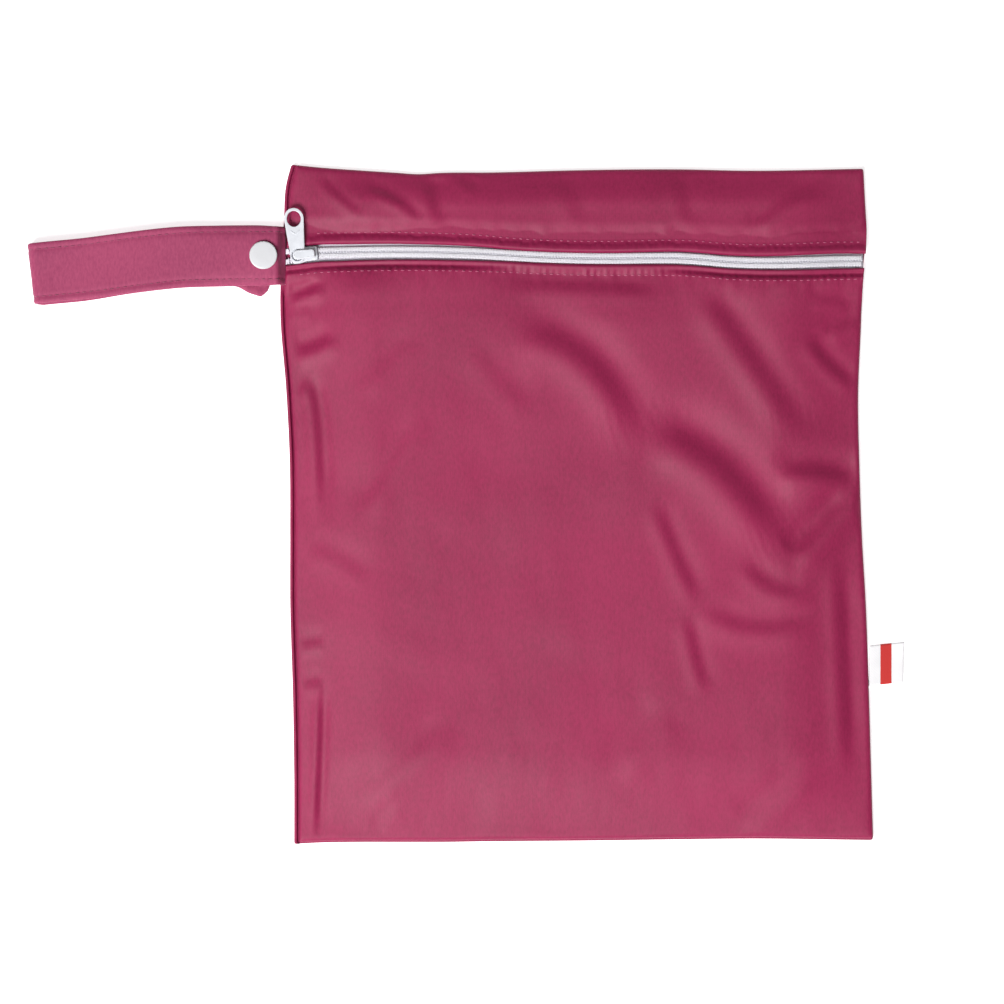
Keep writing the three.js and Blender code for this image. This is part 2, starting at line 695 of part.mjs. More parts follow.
function stud() {
  const r = studDiameter / 2;
  const n = studNub / 2;
  const tall = studBase + gap + socketThickness * 0.8;
  const nub = [[n, studBase], [n, tall - 0.3], [n - 0.3, tall], [0, tall]];
  return turned([[0, 0], [r, 0], [r, studBase], ...nub], studLevel);
}

function socket() {
  const r = studDiameter / 2;
  const n = studNub / 2 + gap;
  const t = socketThickness;
  return turned([[n, 0], [r, 0], [r, t * 0.8], [r - 0.5, t], [n, t], [n, 0]], socketLevel);
}

// Side label: a folded tab that stands out of the right seam

function label() {
  const up = 0.263;
  const middle = pouchHeight * (up - 0.5);
  const start = outline(1, up).right + gap;
  return sheetSolid([0, 0.15, 0.5, 0.85, 1], [0, 0.5, 1], (u, v) => {
    const x = start + labelReach * u + 0.6 * v;
    const y = middle + labelWidth * (v - 0.5) + labelReach * 0.1 * u;
    const sag = onBack * 0.6 * (1 - smooth(u / 0.8));
    const end = u > 0.9 ? 0.3 : 0;
    return { x, y, top: sag + labelThickness - end, bottom: sag + end };
  });
}

// Materials

const raspberry = new THREE.Color('#a83c66');

function finish(color, roughness, metalness = 0) {
  return new THREE.MeshStandardMaterial({ color, roughness, metalness });
}

const clothFinish = finish(raspberry, 0.62);
const whiteWeave = finish('#e6e2ea', 0.7);
const whiteNylon = finish('#efedf2', 0.4);
const whitePaint = finish('#e9ebef', 0.32, 0.1);
const whitePlastic = finish('#e8e7ea', 0.3);
const labelWeave = finish('#f2eff2', 0.75);

const bag = new THREE.Group();

function add(name, geometry, material) {
  const mesh = new THREE.Mesh(geometry, material);
  mesh.name = name;
  bag.add(mesh);
}

add('back_panel', back(), clothFinish);
add('front_panel_lower', lowerFront(), clothFinish);
add('front_panel_upper', upperFront(), clothFinish);
add('zip_tape_lower', tape(-1), whiteWeave);
add('zip_tape_upper', tape(1), whiteWeave);
add('zip_coil_lower', coil(-1), whiteNylon);
add('zip_coil_upper', coil(1), whiteNylon);
add('slider_body', slider(), whitePaint);
add('puller', puller(), whitePaint);
add('strap_loop', strap(), clothFinish);
add('snap_cap_front', frontCap(), whitePlastic);
add('snap_stud', stud(), whitePlastic);
add('snap_socket', socket(), whitePlastic);
add('snap_cap_back', backCap(), whitePlastic);
add('side_label', label(), labelWeave);

export default bag;
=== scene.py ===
import math

import bmesh
import bpy
import numpy as np
from mathutils import Matrix, Vector


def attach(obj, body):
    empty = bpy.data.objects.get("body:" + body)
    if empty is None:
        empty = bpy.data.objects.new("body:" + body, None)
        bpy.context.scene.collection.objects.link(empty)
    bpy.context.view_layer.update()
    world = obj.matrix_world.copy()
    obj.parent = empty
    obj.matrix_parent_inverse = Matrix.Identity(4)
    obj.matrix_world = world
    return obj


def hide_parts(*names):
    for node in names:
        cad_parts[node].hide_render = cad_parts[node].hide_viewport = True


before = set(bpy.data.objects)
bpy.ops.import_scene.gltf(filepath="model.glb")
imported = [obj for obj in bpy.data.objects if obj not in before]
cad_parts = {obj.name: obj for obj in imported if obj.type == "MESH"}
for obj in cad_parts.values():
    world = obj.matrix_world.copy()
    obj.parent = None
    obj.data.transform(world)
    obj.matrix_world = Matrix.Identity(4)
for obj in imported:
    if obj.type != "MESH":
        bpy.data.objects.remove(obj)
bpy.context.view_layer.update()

# A raspberry cloth zip pouch with a snap strap, lying on its back and seen from straight above.
# Shapes are worked out in millimetres, in the frame's own axes, and turned into metres when a mesh is made.

MM = 0.001

# The photograph: how many millimetres a pixel shows, and the pixel of the frame's origin
pixel = 0.4444
origin_column = 579.5
origin_row = 506.5
photo_size = 1004

# Pouch
pouch_width = 256.0
pouch_height = 299.0
pouch_crown = 10.4
wall = 0.7
back_wall = 1.1
gap = 0.3
edge_run = 40.0
corner_radius = 1.0
rim_width = 2.2
rim_rise = 1.5
edge_rise = 1.4
edge_roll = 2.2
upper_run = 16.0
upper_crown = 0.76
lower_share = 0.863
upper_start = 0.885
upper_share = 0.115
end_steps = np.array([0, 0.2, 0.6, 1.3, 2.2])
fine_step = 0.42

# Zip
zip_share = 0.87
zip_lift = 3.0
on_back = 1.5
tape_level = 2.6
tape_thickness = 0.7
tape_reach = 12.0
tape_end_reach = 3.5
tape_start = -pouch_width / 2 - 2.6
tape_inset = 0.7
coil_start = -pouch_width / 2 - 1.6
coil_inset = 1.3
coil_height = 1.6
coil_pitch = 1.25
coil_wire = 0.27
coil_clearance = 0.12
hem_thickness = 1.6
hem_width = 5.2

# Slider and puller
slider_start = -128.6
slider_length = 12.2
shoulder_width = 7.5
tail_width = 6.1
upper_plate_level = 5.6
upper_plate = 0.9
slider_tilt = 6.5
pivot_x = -125.2
pivot_y = 111.66
crown_width = 4.3
puller_level = 6.8
puller_thickness = 1.0
puller_reach = 16.2
puller_lean = 6.0

# Strap and snap
strap_width = 27.0
strap_length = 112.0
strap_thickness = 1.6
strap_start = -131.2
strap_y = 111.55
loop_gap = 4.9
snap_inset = 9.2
snap_diameter = 12.4
cap_front_level = 8.4
socket_level = 4.8
stud_level = 3.5
free_end_lap = 6.2
free_end_turn = 18.0
free_end_flare = 1.32
free_end_trim = 0.62
seam_taper = 0.04
back_shift = 0.7

# Stitches
stitch_pitch = 3.0
stitch_radius = 0.2
stitch_inset = 3.0
stitch_swell = np.array([0.5, 0.9, 1, 1, 1, 0.9, 0.5])
stitch_reach = np.linspace(-0.5, 0.5, 7)

# Side label
label_place = 0.263
label_reach = 15.0
label_width = 18.0
label_ply = 0.42
label_band = (5.5, 10.5)

# Studio, in metres but for the camera's sensor
floor_size = 12.0
floor_level = -0.0003
camera_height = 2.2
lens_level = 0.006
sensor = 36


def table(names, *rows):
    """Columns of numbers by name."""
    return {name: np.array(column, float) for name, column in zip(names.split(), zip(*rows))}


# Outline of the pouch from its foot (0) to its head (1): how far each side stands out, in shares of the width
SIDES = table(
    "at left right",
    (0, -0.004, 0.011),
    (0.09, -0.004, 0.008),
    (0.21, -0.002, 0.004),
    (0.36, 0.003, -0.002),
    (0.45, 0.003, -0.008),
    (0.57, 0.004, -0.013),
    (0.67, 0.01, -0.015),
    (0.78, 0.02, -0.01),
    (0.83, 0.02, -0.008),
    (0.92, 0.014, -0.001),
    (0.97, 0.01, -0.004),
    (1, 0.001, -0.006),
)

# From left (0) to right (1): how far the head and the foot stand out, in shares of the height
ENDS = table(
    "at head foot",
    (0, 0.009, 0.003),
    (0.045, 0.005, 0.001),
    (0.115, 0.0006, 0),
    (0.18, -0.003, 0),
    (0.221, -0.0052, 0),
    (0.256, -0.0034, 0),
    (0.345, -0.0027, -0.001),
    (0.5, 0.0007, -0.002),
    (0.68, 0.0019, -0.004),
    (0.785, 0, -0.005),
    (1, 0.003, -0.003),
)

# The zip from left to right, in the photograph's pixels: its middle and the height of its open band
ZIP = table(
    "at middle band",
    (291, 252.9, 17.0),
    (328, 252.6, 16.6),
    (364, 251.9, 15.8),
    (394, 251.7, 15.5),
    (424, 252.1, 15.0),
    (460, 253.0, 14.3),
    (484, 254.0, 13.3),
    (508, 255.5, 11.6),
    (532, 256.8, 11.1),
    (556, 257.8, 11.0),
    (592, 258.6, 11.0),
    (620, 258.6, 11.2),
    (650, 258.2, 12.0),
    (682, 258.4, 12.8),
    (703, 259.8, 12.8),
    (724, 261.7, 12.9),
    (748, 262.8, 12.9),
    (784, 262.9, 13.6),
    (808, 262.1, 14.4),
    (836, 261.0, 14.7),
    (868, 260.6, 14.0),
)

# Folds of the front, each down a curve over three places in the photograph's pixels, then its spread and drop
# in millimetres. The cloth falls towards the left of the run
FOLDS = [
    ((508, 334), (594, 320), (644, 450), 7.0, 1.7),
    ((646, 428), (722, 438), (792, 558), 8.0, 2.2),
    ((788, 558), (815, 540), (862, 478), 5.2, 1.5),
    ((772, 474), (812, 462), (862, 485), 5.0, 1.4),
    ((700, 286), (744, 345), (806, 440), 5.6, 1.15),
    ((806, 334), (826, 368), (858, 386), 3.3, 0.85),
    ((806, 300), (832, 297), (852, 306), 2.4, 0.45),
    ((826, 335), (838, 326), (860, 318), 2.8, 0.55),
    ((655, 500), (672, 550), (700, 604), 3.6, 0.65),
    ((687, 615), (692, 650), (708, 695), 3.2, 0.55),
    ((738, 556), (775, 604), (808, 586), 3.8, 0.7),
    ((698, 608), (760, 642), (818, 616), 4.2, 0.75),
    ((838, 555), (843, 650), (848, 780), 3.6, 0.8),
    ((306, 380), (320, 390), (321, 525), 3.0, 1.0),
    ((321, 680), (320, 760), (315, 843), 1.9, 0.8),
    ((299, 646), (312, 643), (325, 641), 2.4, 0.4),
    ((301, 686), (312, 683), (324, 682), 2.4, 0.4),
    ((286, 298), (304, 294), (324, 284), 2.6, 1.7),
    ((288, 309), (300, 309), (312, 307), 2.6, 0.5),
    ((293, 351), (314, 350), (336, 335), 3.4, 1.0),
    ((360, 516), (392, 468), (420, 415), 4.4, 0.5),
    ((360, 392), (385, 362), (418, 335), 4.6, 0.35),
    ((306, 548), (338, 552), (372, 582), 4.0, 0.3),
    ((360, 802), (400, 764), (452, 720), 5.4, 0.55),
    ((376, 830), (386, 818), (398, 806), 3.0, 0.25),
    ((610, 778), (640, 738), (668, 708), 6.6, 0.5),
    ((735, 824), (775, 806), (814, 760), 5.2, 0.55),
    ((505, 284), (585, 284), (668, 291), 3.2, 0.55),
    ((472, 342), (500, 385), (535, 412), 4.8, 0.25),
    ((319, 175), (338, 200), (366, 216), 2.1, 0.4),
    ((364, 188), (398, 194), (426, 226), 2.5, 0.6),
    ((424, 174), (432, 200), (438, 228), 3.8, 0.7),
    ((454, 173), (465, 180), (476, 194), 2.8, 0.4),
    ((560, 178), (572, 200), (580, 226), 4.0, 0.3),
    ((676, 176), (684, 200), (686, 228), 3.8, 0.35),
    ((748, 232), (775, 206), (822, 186), 3.6, 0.75),
    ((842, 238), (852, 230), (866, 226), 1.7, 0.5),
]

# The strap from its seam (0) to its fold (1) and past it: its sideways shift in shares of its width, its rise
# from the seam in shares of the open loop
STRAP = table(
    "at shift up",
    (0, 0, 0),
    (0.01, 0, 0.22),
    (0.02, 0, 0.54),
    (0.03, 0, 0.9),
    (0.045, 0, 1),
    (0.055, 0, 1),
    (0.16, 0, 1),
    (0.27, -0.006, 1),
    (0.45, -0.033, 1.02),
    (0.5, -0.053, 1.02),
    (0.69, -0.148, 1.02),
    (0.8, -0.207, 1.01),
    (1, -0.287, 1),
    (1.15, -0.362, 1),
)


def smooth(t):
    """Eases from 0 to 1."""
    c = np.clip(t, 0, 1)
    return c * c * (3 - 2 * c)


def track(rows, column, at):
    """Runs a smooth curve through one column of a table."""
    places, values = rows["at"], rows[column]
    slopes = np.gradient(values, places)
    at = np.clip(at, places[0], places[-1])
    i = np.clip(np.searchsorted(places, at, side="right") - 1, 0, len(places) - 2)
    long = places[i + 1] - places[i]
    t = (at - places[i]) / long
    keep = 2 * t**3 - 3 * t**2 + 1
    lead = t**3 - 2 * t**2 + t
    trail = t**3 - t**2
    line = keep * values[i] + (1 - keep) * values[i + 1]
    return line + lead * long * slopes[i] + trail * long * slopes[i + 1]


def ripple(x, y, size, seed, waves=14):
    """Soft random waves of about one size, from -1 to 1, the same each run."""
    draw = np.random.RandomState(seed)
    total = np.zeros(np.broadcast(x, y).shape)
    for _ in range(waves):
        angle = draw.uniform(0, 2 * math.pi)
        pitch = size * draw.uniform(0.7, 1.5)
        phase = draw.uniform(0, 2 * math.pi)
        total += np.sin((x * math.cos(angle) + y * math.sin(angle)) * 2 * math.pi / pitch + phase)
    return total / math.sqrt(waves / 2) / 2


# Meshes


def make_piece(name, points, faces, material):
    """Makes one object of the pouch from points in millimetres."""
    mesh = bpy.data.meshes.new(name)
    mesh.from_pydata((np.asarray(points) * MM).tolist(), [], faces)
    mesh.validate()
    mesh.update()
    shade_smooth(mesh)
    piece = link_object(name, mesh)
    finish_piece(piece, material, "pouch")
    return piece


def shade_smooth(mesh):
    mesh.polygons.foreach_set("use_smooth", [True] * len(mesh.polygons))


def link_object(name, data):
    piece = bpy.data.objects.new(name, data)
    bpy.context.scene.collection.objects.link(piece)
    return piece


def finish_piece(piece, material, body):
    """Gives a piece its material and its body."""
    piece.data.materials.clear()
    piece.data.materials.append(material)
    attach(piece, body)


def grid_faces(rows, columns, start=0, flip=False, wrap=False):
    """Quads over a grid of points, row by row."""
    r, c = np.meshgrid(np.arange(rows - 1), np.arange(columns - (0 if wrap else 1)), indexing="ij")
    nxt = (c + 1) % columns
    a, b = r * columns + c, r * columns + nxt
    quads = np.stack([a, b, b + columns, a + columns], -1).reshape(-1, 4) + start
    if flip:
        quads = quads[:, ::-1]
    return quads.tolist()


def shell(name, upper, lower, material):
    """A closed sheet between two grids of points with one rim round both. A grid is its x, y and z."""
    rows, columns = upper[0].shape
    count = rows * columns
    points = np.concatenate([np.stack(grid, -1).reshape(-1, 3) for grid in (upper, lower)])
    faces = grid_faces(rows, columns) + grid_faces(rows, columns, count, flip=True)
    ids = np.arange(count).reshape(rows, columns)
    rim = np.concatenate([ids[0, :-1], ids[:-1, -1], ids[-1, :0:-1], ids[:0:-1, 0]])
    after = np.roll(rim, -1)
    faces += np.stack([rim, rim + count, after + count, after], -1).tolist()
    return make_piece(name, points, faces, material)


def tubes(name, lines, radius, material, sides=6):
    """Round threads or wires with closed ends along many lines of the same number of points, as one mesh."""
    lines = np.asarray(lines, float)
    count, steps, _ = lines.shape
    ahead = np.gradient(lines, axis=1)
    ahead /= np.linalg.norm(ahead, axis=2, keepdims=True) + 1e-9
    steep = np.abs(ahead[:, :, 2:]) > 0.95
    up = np.where(steep, np.array([0.0, 1.0, 0.0]), np.array([0.0, 0.0, 1.0]))
    aside = np.cross(up, ahead)
    aside /= np.linalg.norm(aside, axis=2, keepdims=True) + 1e-9
    above = np.cross(ahead, aside)
    angles = np.linspace(0, 2 * math.pi, sides, endpoint=False)
    size = radius if np.ndim(radius) == 0 else np.asarray(radius)[None, :, None, None]
    ring = (
        aside[:, :, None] * np.cos(angles)[None, None, :, None]
        + above[:, :, None] * np.sin(angles)[None, None, :, None]
    )
    points = (lines[:, :, None] + ring * size).reshape(-1, 3)
    faces = []
    one = grid_faces(steps, sides, wrap=True)
    block = steps * sides
    for i in range(count):
        faces += [[v + i * block for v in quad] for quad in one]
        faces.append([i * block + s for s in range(sides)][::-1])
        faces.append([i * block + block - sides + s for s in range(sides)])
    return make_piece(name, points, faces, material)


def plate(name, splines, thickness, level, bevel, rounds=3):
    """A flat plate with holes and rounded edges, as a mesh. The first outline is the outer one."""
    data = bpy.data.curves.new(name, "CURVE")
    data.dimensions = "2D"
    data.fill_mode = "BOTH"
    data.extrude = (thickness / 2 - bevel) * MM
    data.bevel_depth = bevel * MM
    data.bevel_resolution = rounds
    data.offset = -bevel * MM
    for outline in splines:
        line = data.splines.new("POLY")
        line.points.add(len(outline) - 1)
        line.points.foreach_set("co", [v for x, y in outline for v in (x * MM, y * MM, 0, 1)])
        line.use_cyclic_u = True
    temporary = link_object(name, data)
    mesh = evaluated_mesh(temporary)
    bpy.data.objects.remove(temporary)
    mesh.transform(move(0, 0, level + thickness / 2))
    return mesh


def evaluated_mesh(piece):
    """The mesh of a curve or of an object with its modifiers."""
    bpy.context.view_layer.update()
    return bpy.data.meshes.new_from_object(piece.evaluated_get(bpy.context.evaluated_depsgraph_get()))


def move(x, y, z):
    """A shift in millimetres as a matrix."""
    return Matrix.Translation(Vector((x, y, z)) * MM)


# Outline and levels of the pouch


def column(x):
    """The photograph's column of a place."""
    return x / pixel + origin_column


def zip_y(x):
    """The zip's middle line. Its left end bends down towards the strap."""
    past = np.maximum(0, 15 - pouch_width / 2 - x)
    bend = math.tan(math.radians(slider_tilt)) * past * past / (past + 4)
    return (origin_row - track(ZIP, "middle", column(x))) * pixel - bend


def band(x):
    return track(ZIP, "band", column(x)) * pixel / 2


def lift(x):
    from_left = smooth((x + pouch_width / 2 - 18) / 45)
    from_right = smooth((pouch_width / 2 - x - 3) / 30)
    return zip_lift * from_left * from_right


def tape_top(x):
    return tape_level + lift(x) + tape_thickness + 0.1


def corner_cut(distance):
    t = np.maximum(0, corner_radius - distance) / corner_radius
    return corner_radius * (1 - np.sqrt(np.maximum(0, 1 - t * t)))


def side_left(v):
    ends = np.minimum(v, 1 - v) * pouch_height
    return -pouch_width * (0.5 + track(SIDES, "left", v)) + corner_cut(ends)


def side_right(v):
    ends = np.minimum(v, 1 - v) * pouch_height
    return pouch_width * (0.5 + track(SIDES, "right", v)) - corner_cut(ends)


def right_end(share=zip_share):
    """The place of the pouch's right side at one height, by default the zip's."""
    return float(side_right(np.array(share)))


def foot(x):
    return -pouch_height * (0.5 + track(ENDS, "foot", x / pouch_width + 0.5))


def head(x):
    return pouch_height * (0.5 + track(ENDS, "head", x / pouch_width + 0.5))


def fold_line(run):
    """A fold's curve in millimetres, from its three places in the photograph."""
    t = np.linspace(0, 1, 48)[:, None]
    knots = np.array([[(x - origin_column) * pixel, (origin_row - y) * pixel] for x, y in run])
    return (1 - t) ** 2 * knots[0] + 2 * t * (1 - t) * knots[1] + t**2 * knots[2]


def fold_lift(x, y):
    """The height that all folds add at each place: a crest right of the run and a trough left of it."""
    total = np.zeros(x.shape)
    for *run, spread, drop in FOLDS:
        line = fold_line(run)
        reach = spread * 4.5
        low, high = line.min(0) - reach, line.max(0) + reach
        near = (x > low[0]) & (x < high[0]) & (y > low[1]) & (y < high[1])
        if not near.any():
            continue
        places = np.stack([x[near], y[near]], -1)
        away = np.linalg.norm(places[:, None] - line[None], axis=2)
        nearest = away.argmin(1)
        ahead = np.gradient(line, axis=0)[nearest]
        ahead /= np.linalg.norm(ahead, axis=1, keepdims=True)
        offset = places - line[nearest]
        aside = ahead[:, 0] * offset[:, 1] - ahead[:, 1] * offset[:, 0]
        beyond = ahead[:, 0] * offset[:, 0] + ahead[:, 1] * offset[:, 1]
        along = nearest / (len(line) - 1)
        taper = smooth(0.12 + np.minimum(along, 1 - along) / 0.3)
        share = aside / spread
        step = share * np.exp(0.5 - share**2 / 2) * np.exp(-((beyond / spread) ** 2) / 2)
        total[near] -= drop * taper * step
    return total


def climb(distance, run):
    """A gentle rise from 0 at an edge to 1."""
    return smooth(distance / run * 0.86 + 0.14) - smooth(0.14) * (1 - smooth(distance / run))


def rounded(distance, run):
    """A rise from 0 at an edge to 1, round as an edge's section is."""
    t = np.clip(1 - distance / run, 0, 1)
    return (1 - t * t) ** 0.5


def seam_puckers(x, from_fold, seed):
    """Short wrinkles that the topstitching pulls into the hem and the panel beside it."""
    at = from_fold - hem_width
    beat = x + 0.5 * ripple(x, 0, 24, seed)
    fine = np.cos(2 * math.pi * beat / stitch_pitch) * (1 + 0.5 * ripple(x, 0, 17, seed + 3))
    short = ripple(x * 2.4, from_fold * 0.5, 9, seed + 2)
    coarse = ripple(x * 2.2, from_fold * 0.35, 18, seed + 1)
    close = np.exp(-(((at + 1.2) / 1.6) ** 2))
    return (0.2 * fine + 0.2 * short) * close + 0.22 * coarse * np.exp(-(((at - 1.5) / 4.6) ** 2))


def hem_relief(x, from_fold, upper):
    """What the stitched hem adds: a fall from its fold to the stitches, then a puff in the panel."""
    calm = np.exp(-(((x - 2) / 44) ** 4))
    beyond = np.maximum(0, from_fold - hem_width + 0.3)
    if upper:
        fall = np.clip((from_fold - 0.9) / (hem_width - 1.2), 0, 1) ** 1.8
        return -1.75 * fall + 1.95 * smooth(beyond / 8)
    bright = -1.0 * smooth((from_fold - 0.3) / 2.1)
    rise = 1.65 * smooth((from_fold - 2.1) / 2.7)
    after = -1.15 * smooth(beyond / 15) + 0.5 * smooth(beyond / 22)
    groove = bright + rise + after
    plain = -1.5 * smooth((from_fold - 1.2) / 4.2) + 1.5 * smooth(beyond / 24)
    return groove * (1 - calm) + plain * calm


def front_heights(x, y, left, right, end, from_fold, upper):
    """Upper and lower height of the front. left, right and end are the distances to its edges."""
    seed = 31 if upper else 21
    run, share = (upper_run, upper_crown) if upper else (edge_run, 1)
    on_tape = tape_top(x) + gap - on_back
    away = np.abs(y - zip_y(x)) - tape_reach
    floor = on_back + on_tape * (1 - smooth(away / 12))
    hem = hem_thickness * (1 - smooth((from_fold - hem_width + 1.6) / 2.0))
    thick = wall + hem * rounded(from_fold, 1.5)
    low = on_back + wall + 0.1
    nearest = np.minimum(np.minimum(left, right), end)
    edge = edge_rise * rounded(nearest, edge_roll)
    sides = climb(left, edge_run) * climb(right, edge_run) * climb(end, run)
    crown = pouch_crown * (0.84 + 0.16 * smooth((y / pouch_height - 0.02) / 0.34)) * share
    calm = smooth(nearest / 4)
    soft = 0.2 * ripple(x, y, 46, 5) + 0.06 * ripple(x, y, 17, 6) + 0.02 * ripple(x, y, 7, 7)
    seams = 0.1 * ripple(0.4 * x, 2.4 * y, 14, 8) * np.exp(-np.minimum(left, right) / 5)
    open_height = low + edge + (crown - low - edge_rise) * sides + (fold_lift(x, y) + soft) * calm + seams
    at_zip = tape_top(x) + gap + wall + hem_thickness * rounded(from_fold, 1.5)
    pull = smooth(from_fold / (hem_width * 3.4)) ** 0.75
    relief = hem_relief(x, from_fold, upper) + seam_puckers(x, from_fold, seed)
    height = at_zip + (open_height - at_zip) * pull + relief
    beside = np.hypot((x - pivot_x - 2) / 10, (y - pivot_y - puller_reach * 0.6) / 13)
    bed = upper_plate_level + upper_plate - 0.3
    height = np.where(height > bed, bed + (height - bed) * smooth((beside - 0.9) / 1.4), height)
    least = floor + wall + 0.2 * hem
    top = np.maximum(height, least)
    return top, np.maximum(top - np.minimum(thick, wall + (top - floor - wall) * 0.8), floor)


def steps_from_fold(tall, coarse):
    """Places across a front: close together at the hem, then even, then close again at the far edge."""
    fine_span, far = 9.2, tall - 3.2
    first = np.arange(0, fine_span, fine_step)
    count = int(round((far - fine_span) / coarse)) + 1
    return np.concatenate([first, np.linspace(fine_span, far, count), (tall - end_steps)[::-1]])


def across_steps():
    edge = np.array([0, 0.3, 0.7, 1.2, 1.9, 2.8])
    middle = np.linspace(4, pouch_width - 4, 290)
    return np.concatenate([edge, middle, (pouch_width - edge)[::-1]]) / pouch_width


def front_lower(material):
    tall = pouch_height * lower_share
    from_fold = steps_from_fold(tall, 2.2)[::-1]
    t, u = np.meshgrid(1 - from_fold / tall, across_steps(), indexing="ij")
    v = t * lower_share
    left, right = side_left(v) + rim_width, side_right(v)
    x = left + (right - left) * u
    start = foot(x) + rim_width * 0.4
    stop = zip_y(x) - band(x)
    y = start + (stop - start) * t
    top, bottom = front_heights(x, y, x - left, right - x, y - start, (1 - t) * tall, False)
    piece = shell("pouch_front_lower", (x, y, top), (x, y, bottom), material)
    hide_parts("front_panel_lower")


def front_upper(material):
    tall = pouch_height * upper_share
    t, u = np.meshgrid(steps_from_fold(tall, 1.36) / tall, across_steps(), indexing="ij")
    v = upper_start + upper_share * t
    left, right = side_left(v) + rim_width, side_right(v)
    x = left + (right - left) * u
    start = zip_y(x) + band(x)
    stop = head(x)
    y = start + (stop - start) * t
    top, bottom = front_heights(x, y, x - left, right - x, stop - y, t * tall, True)
    piece = shell("pouch_front_upper", (x, y, top), (x, y, bottom), material)
    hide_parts("front_panel_upper")


def back(material):
    edge = np.array([0, 0.15, 0.4, 0.75, 1.1, 1.45, 1.6, 1.9, 2.6])
    middle = np.linspace(5, pouch_width - 3, 84)
    u = np.concatenate([edge, middle, pouch_width - np.array([1.5, 0.8, 0.4, 0.15, 0])]) / pouch_width
    ends = np.array([0, 0.2, 0.6, 1.2, 2.2])
    v = np.concatenate([ends, np.linspace(3.5, pouch_height - 3.5, 150), (pouch_height - ends)[::-1]])
    v, u = np.meshgrid(v / pouch_height, u, indexing="ij")
    left, right = side_left(v), side_right(v)
    x = left + (right - left) * u
    y = foot(x) * (1 - v) + head(x) * v
    inset = x - left
    from_strap = np.abs(y - strap_y) - strap_width / 2 - 1
    rim = rim_rise * smooth(from_strap / 5) * (1 - smooth((inset - 1.1) / 0.6))
    outer = np.minimum(np.minimum(inset, right - x), np.minimum(v, 1 - v) * pouch_height)
    curl = 0.5 * (1 - rounded(outer, 0.8))
    wobble = 0.18 * ripple(x * 0.3, y, 11, 41) * smooth(1 - inset / 2.2)
    top = back_wall + rim - curl + wobble * (rim / rim_rise)
    bottom = curl + 0.25 * (1 + ripple(x, y, 40, 42)) * smooth((outer - 6) / 20) * 0.5
    bottom = np.minimum(bottom, top - 0.2)
    piece = shell("pouch_back", (x, y, top), (x, y, bottom), material)
    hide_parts("back_panel")


# Zip


def inner_edge(x):
    """How far a tape and its coil stay from the zip's middle. The slider parts them."""
    wedge = slider_start + 1.6
    return 0.15 + 0.95 * (1 - smooth((x - wedge) / (slider_length / 3)))


def zip_tape(side, name, node, material):
    along = np.linspace(tape_start, right_end() - tape_inset, 300)
    x, t = np.meshgrid(along, np.linspace(0, 1, 14), indexing="ij")
    near = inner_edge(x)
    reach = tape_end_reach + (tape_reach - tape_end_reach) * smooth((x - tape_start - 1.2) / 4.5)
    y = zip_y(x) + side * (near + (reach - near) * t)
    edge = rounded(np.minimum(t, 1 - t) * reach, 0.8) * 0.3
    base = tape_level + lift(x)
    turn = -1 if side > 0 else 1
    top = base + tape_thickness - 0.3 + edge
    x, y, top, bottom = (a[::-1, ::turn] for a in (x, y, top, base + 0.3 - edge))
    piece = shell(name, (x, y, top), (x, y, bottom), material)
    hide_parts(node)


def coil(side, name, node, material):
    long = right_end() - coil_inset - coil_start
    loops = int(long / coil_pitch)
    turn = np.linspace(0, 1, loops * 15 + 1)
    x = coil_start + long * turn
    phase = 2 * math.pi * turn * loops + (math.pi if side > 0 else 0)
    pocket = inner_edge(x) - 0.15
    middle, half = pocket + 1.12, 1.22
    squeeze = np.abs(np.cos(phase)) ** 0.55 * np.sign(np.cos(phase))
    tall = (coil_height - 2 * coil_wire) / 2
    y = zip_y(x) + side * (middle - half * squeeze)
    z = tape_top(x) + coil_clearance + coil_wire + tall * (1 + np.sin(phase))
    slant = 0.22 * np.cos(phase)
    line = np.stack([x + slant, y, z], -1)[None]
    piece = tubes(name, line, coil_wire, material, sides=7)
    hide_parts(node)


def coil_threads(material):
    """The cords of chain stitches that hold each coil to its tape. They swell a little with every loop."""
    start, stop = slider_start + slider_length + 0.5, right_end() - coil_inset - 0.3
    x = np.linspace(start, stop, int((stop - start) / coil_pitch * 6))
    rows = [(0.74, 0.1), (1.18, 0), (1.62, 0.04), (2.02, 0.3)]
    lines = []
    for side in (-1, 1):
        for k, (row, lower) in enumerate(rows):
            phase = 2 * math.pi * x / coil_pitch + k * math.pi * 0.7
            y = zip_y(x) + side * (row + 0.05 * np.sin(phase))
            z = tape_top(x) + coil_clearance + coil_height - 0.06 - lower + 0.03 * np.cos(phase)
            lines.append(np.stack([x, y, z], -1))
    radius = 0.24 + 0.035 * np.cos(4 * math.pi * x / coil_pitch)
    tubes("coil_threads", lines, radius, material)


# Topstitching


def front_top(x, y):
    """Upper height of the front at a few places, for what lies on it."""
    upper = y > zip_y(x)
    v = y / pouch_height + 0.5
    left, right = side_left(v) + rim_width, side_right(v)
    end = np.where(upper, head(x) - y, y - foot(x) - rim_width * 0.4)
    from_fold = np.abs(y - zip_y(x)) - band(x)
    low, _ = front_heights(x, y, x - left, right - x, end, from_fold, False)
    high, _ = front_heights(x, y, x - left, right - x, end, from_fold, True)
    return np.where(upper, high, low)


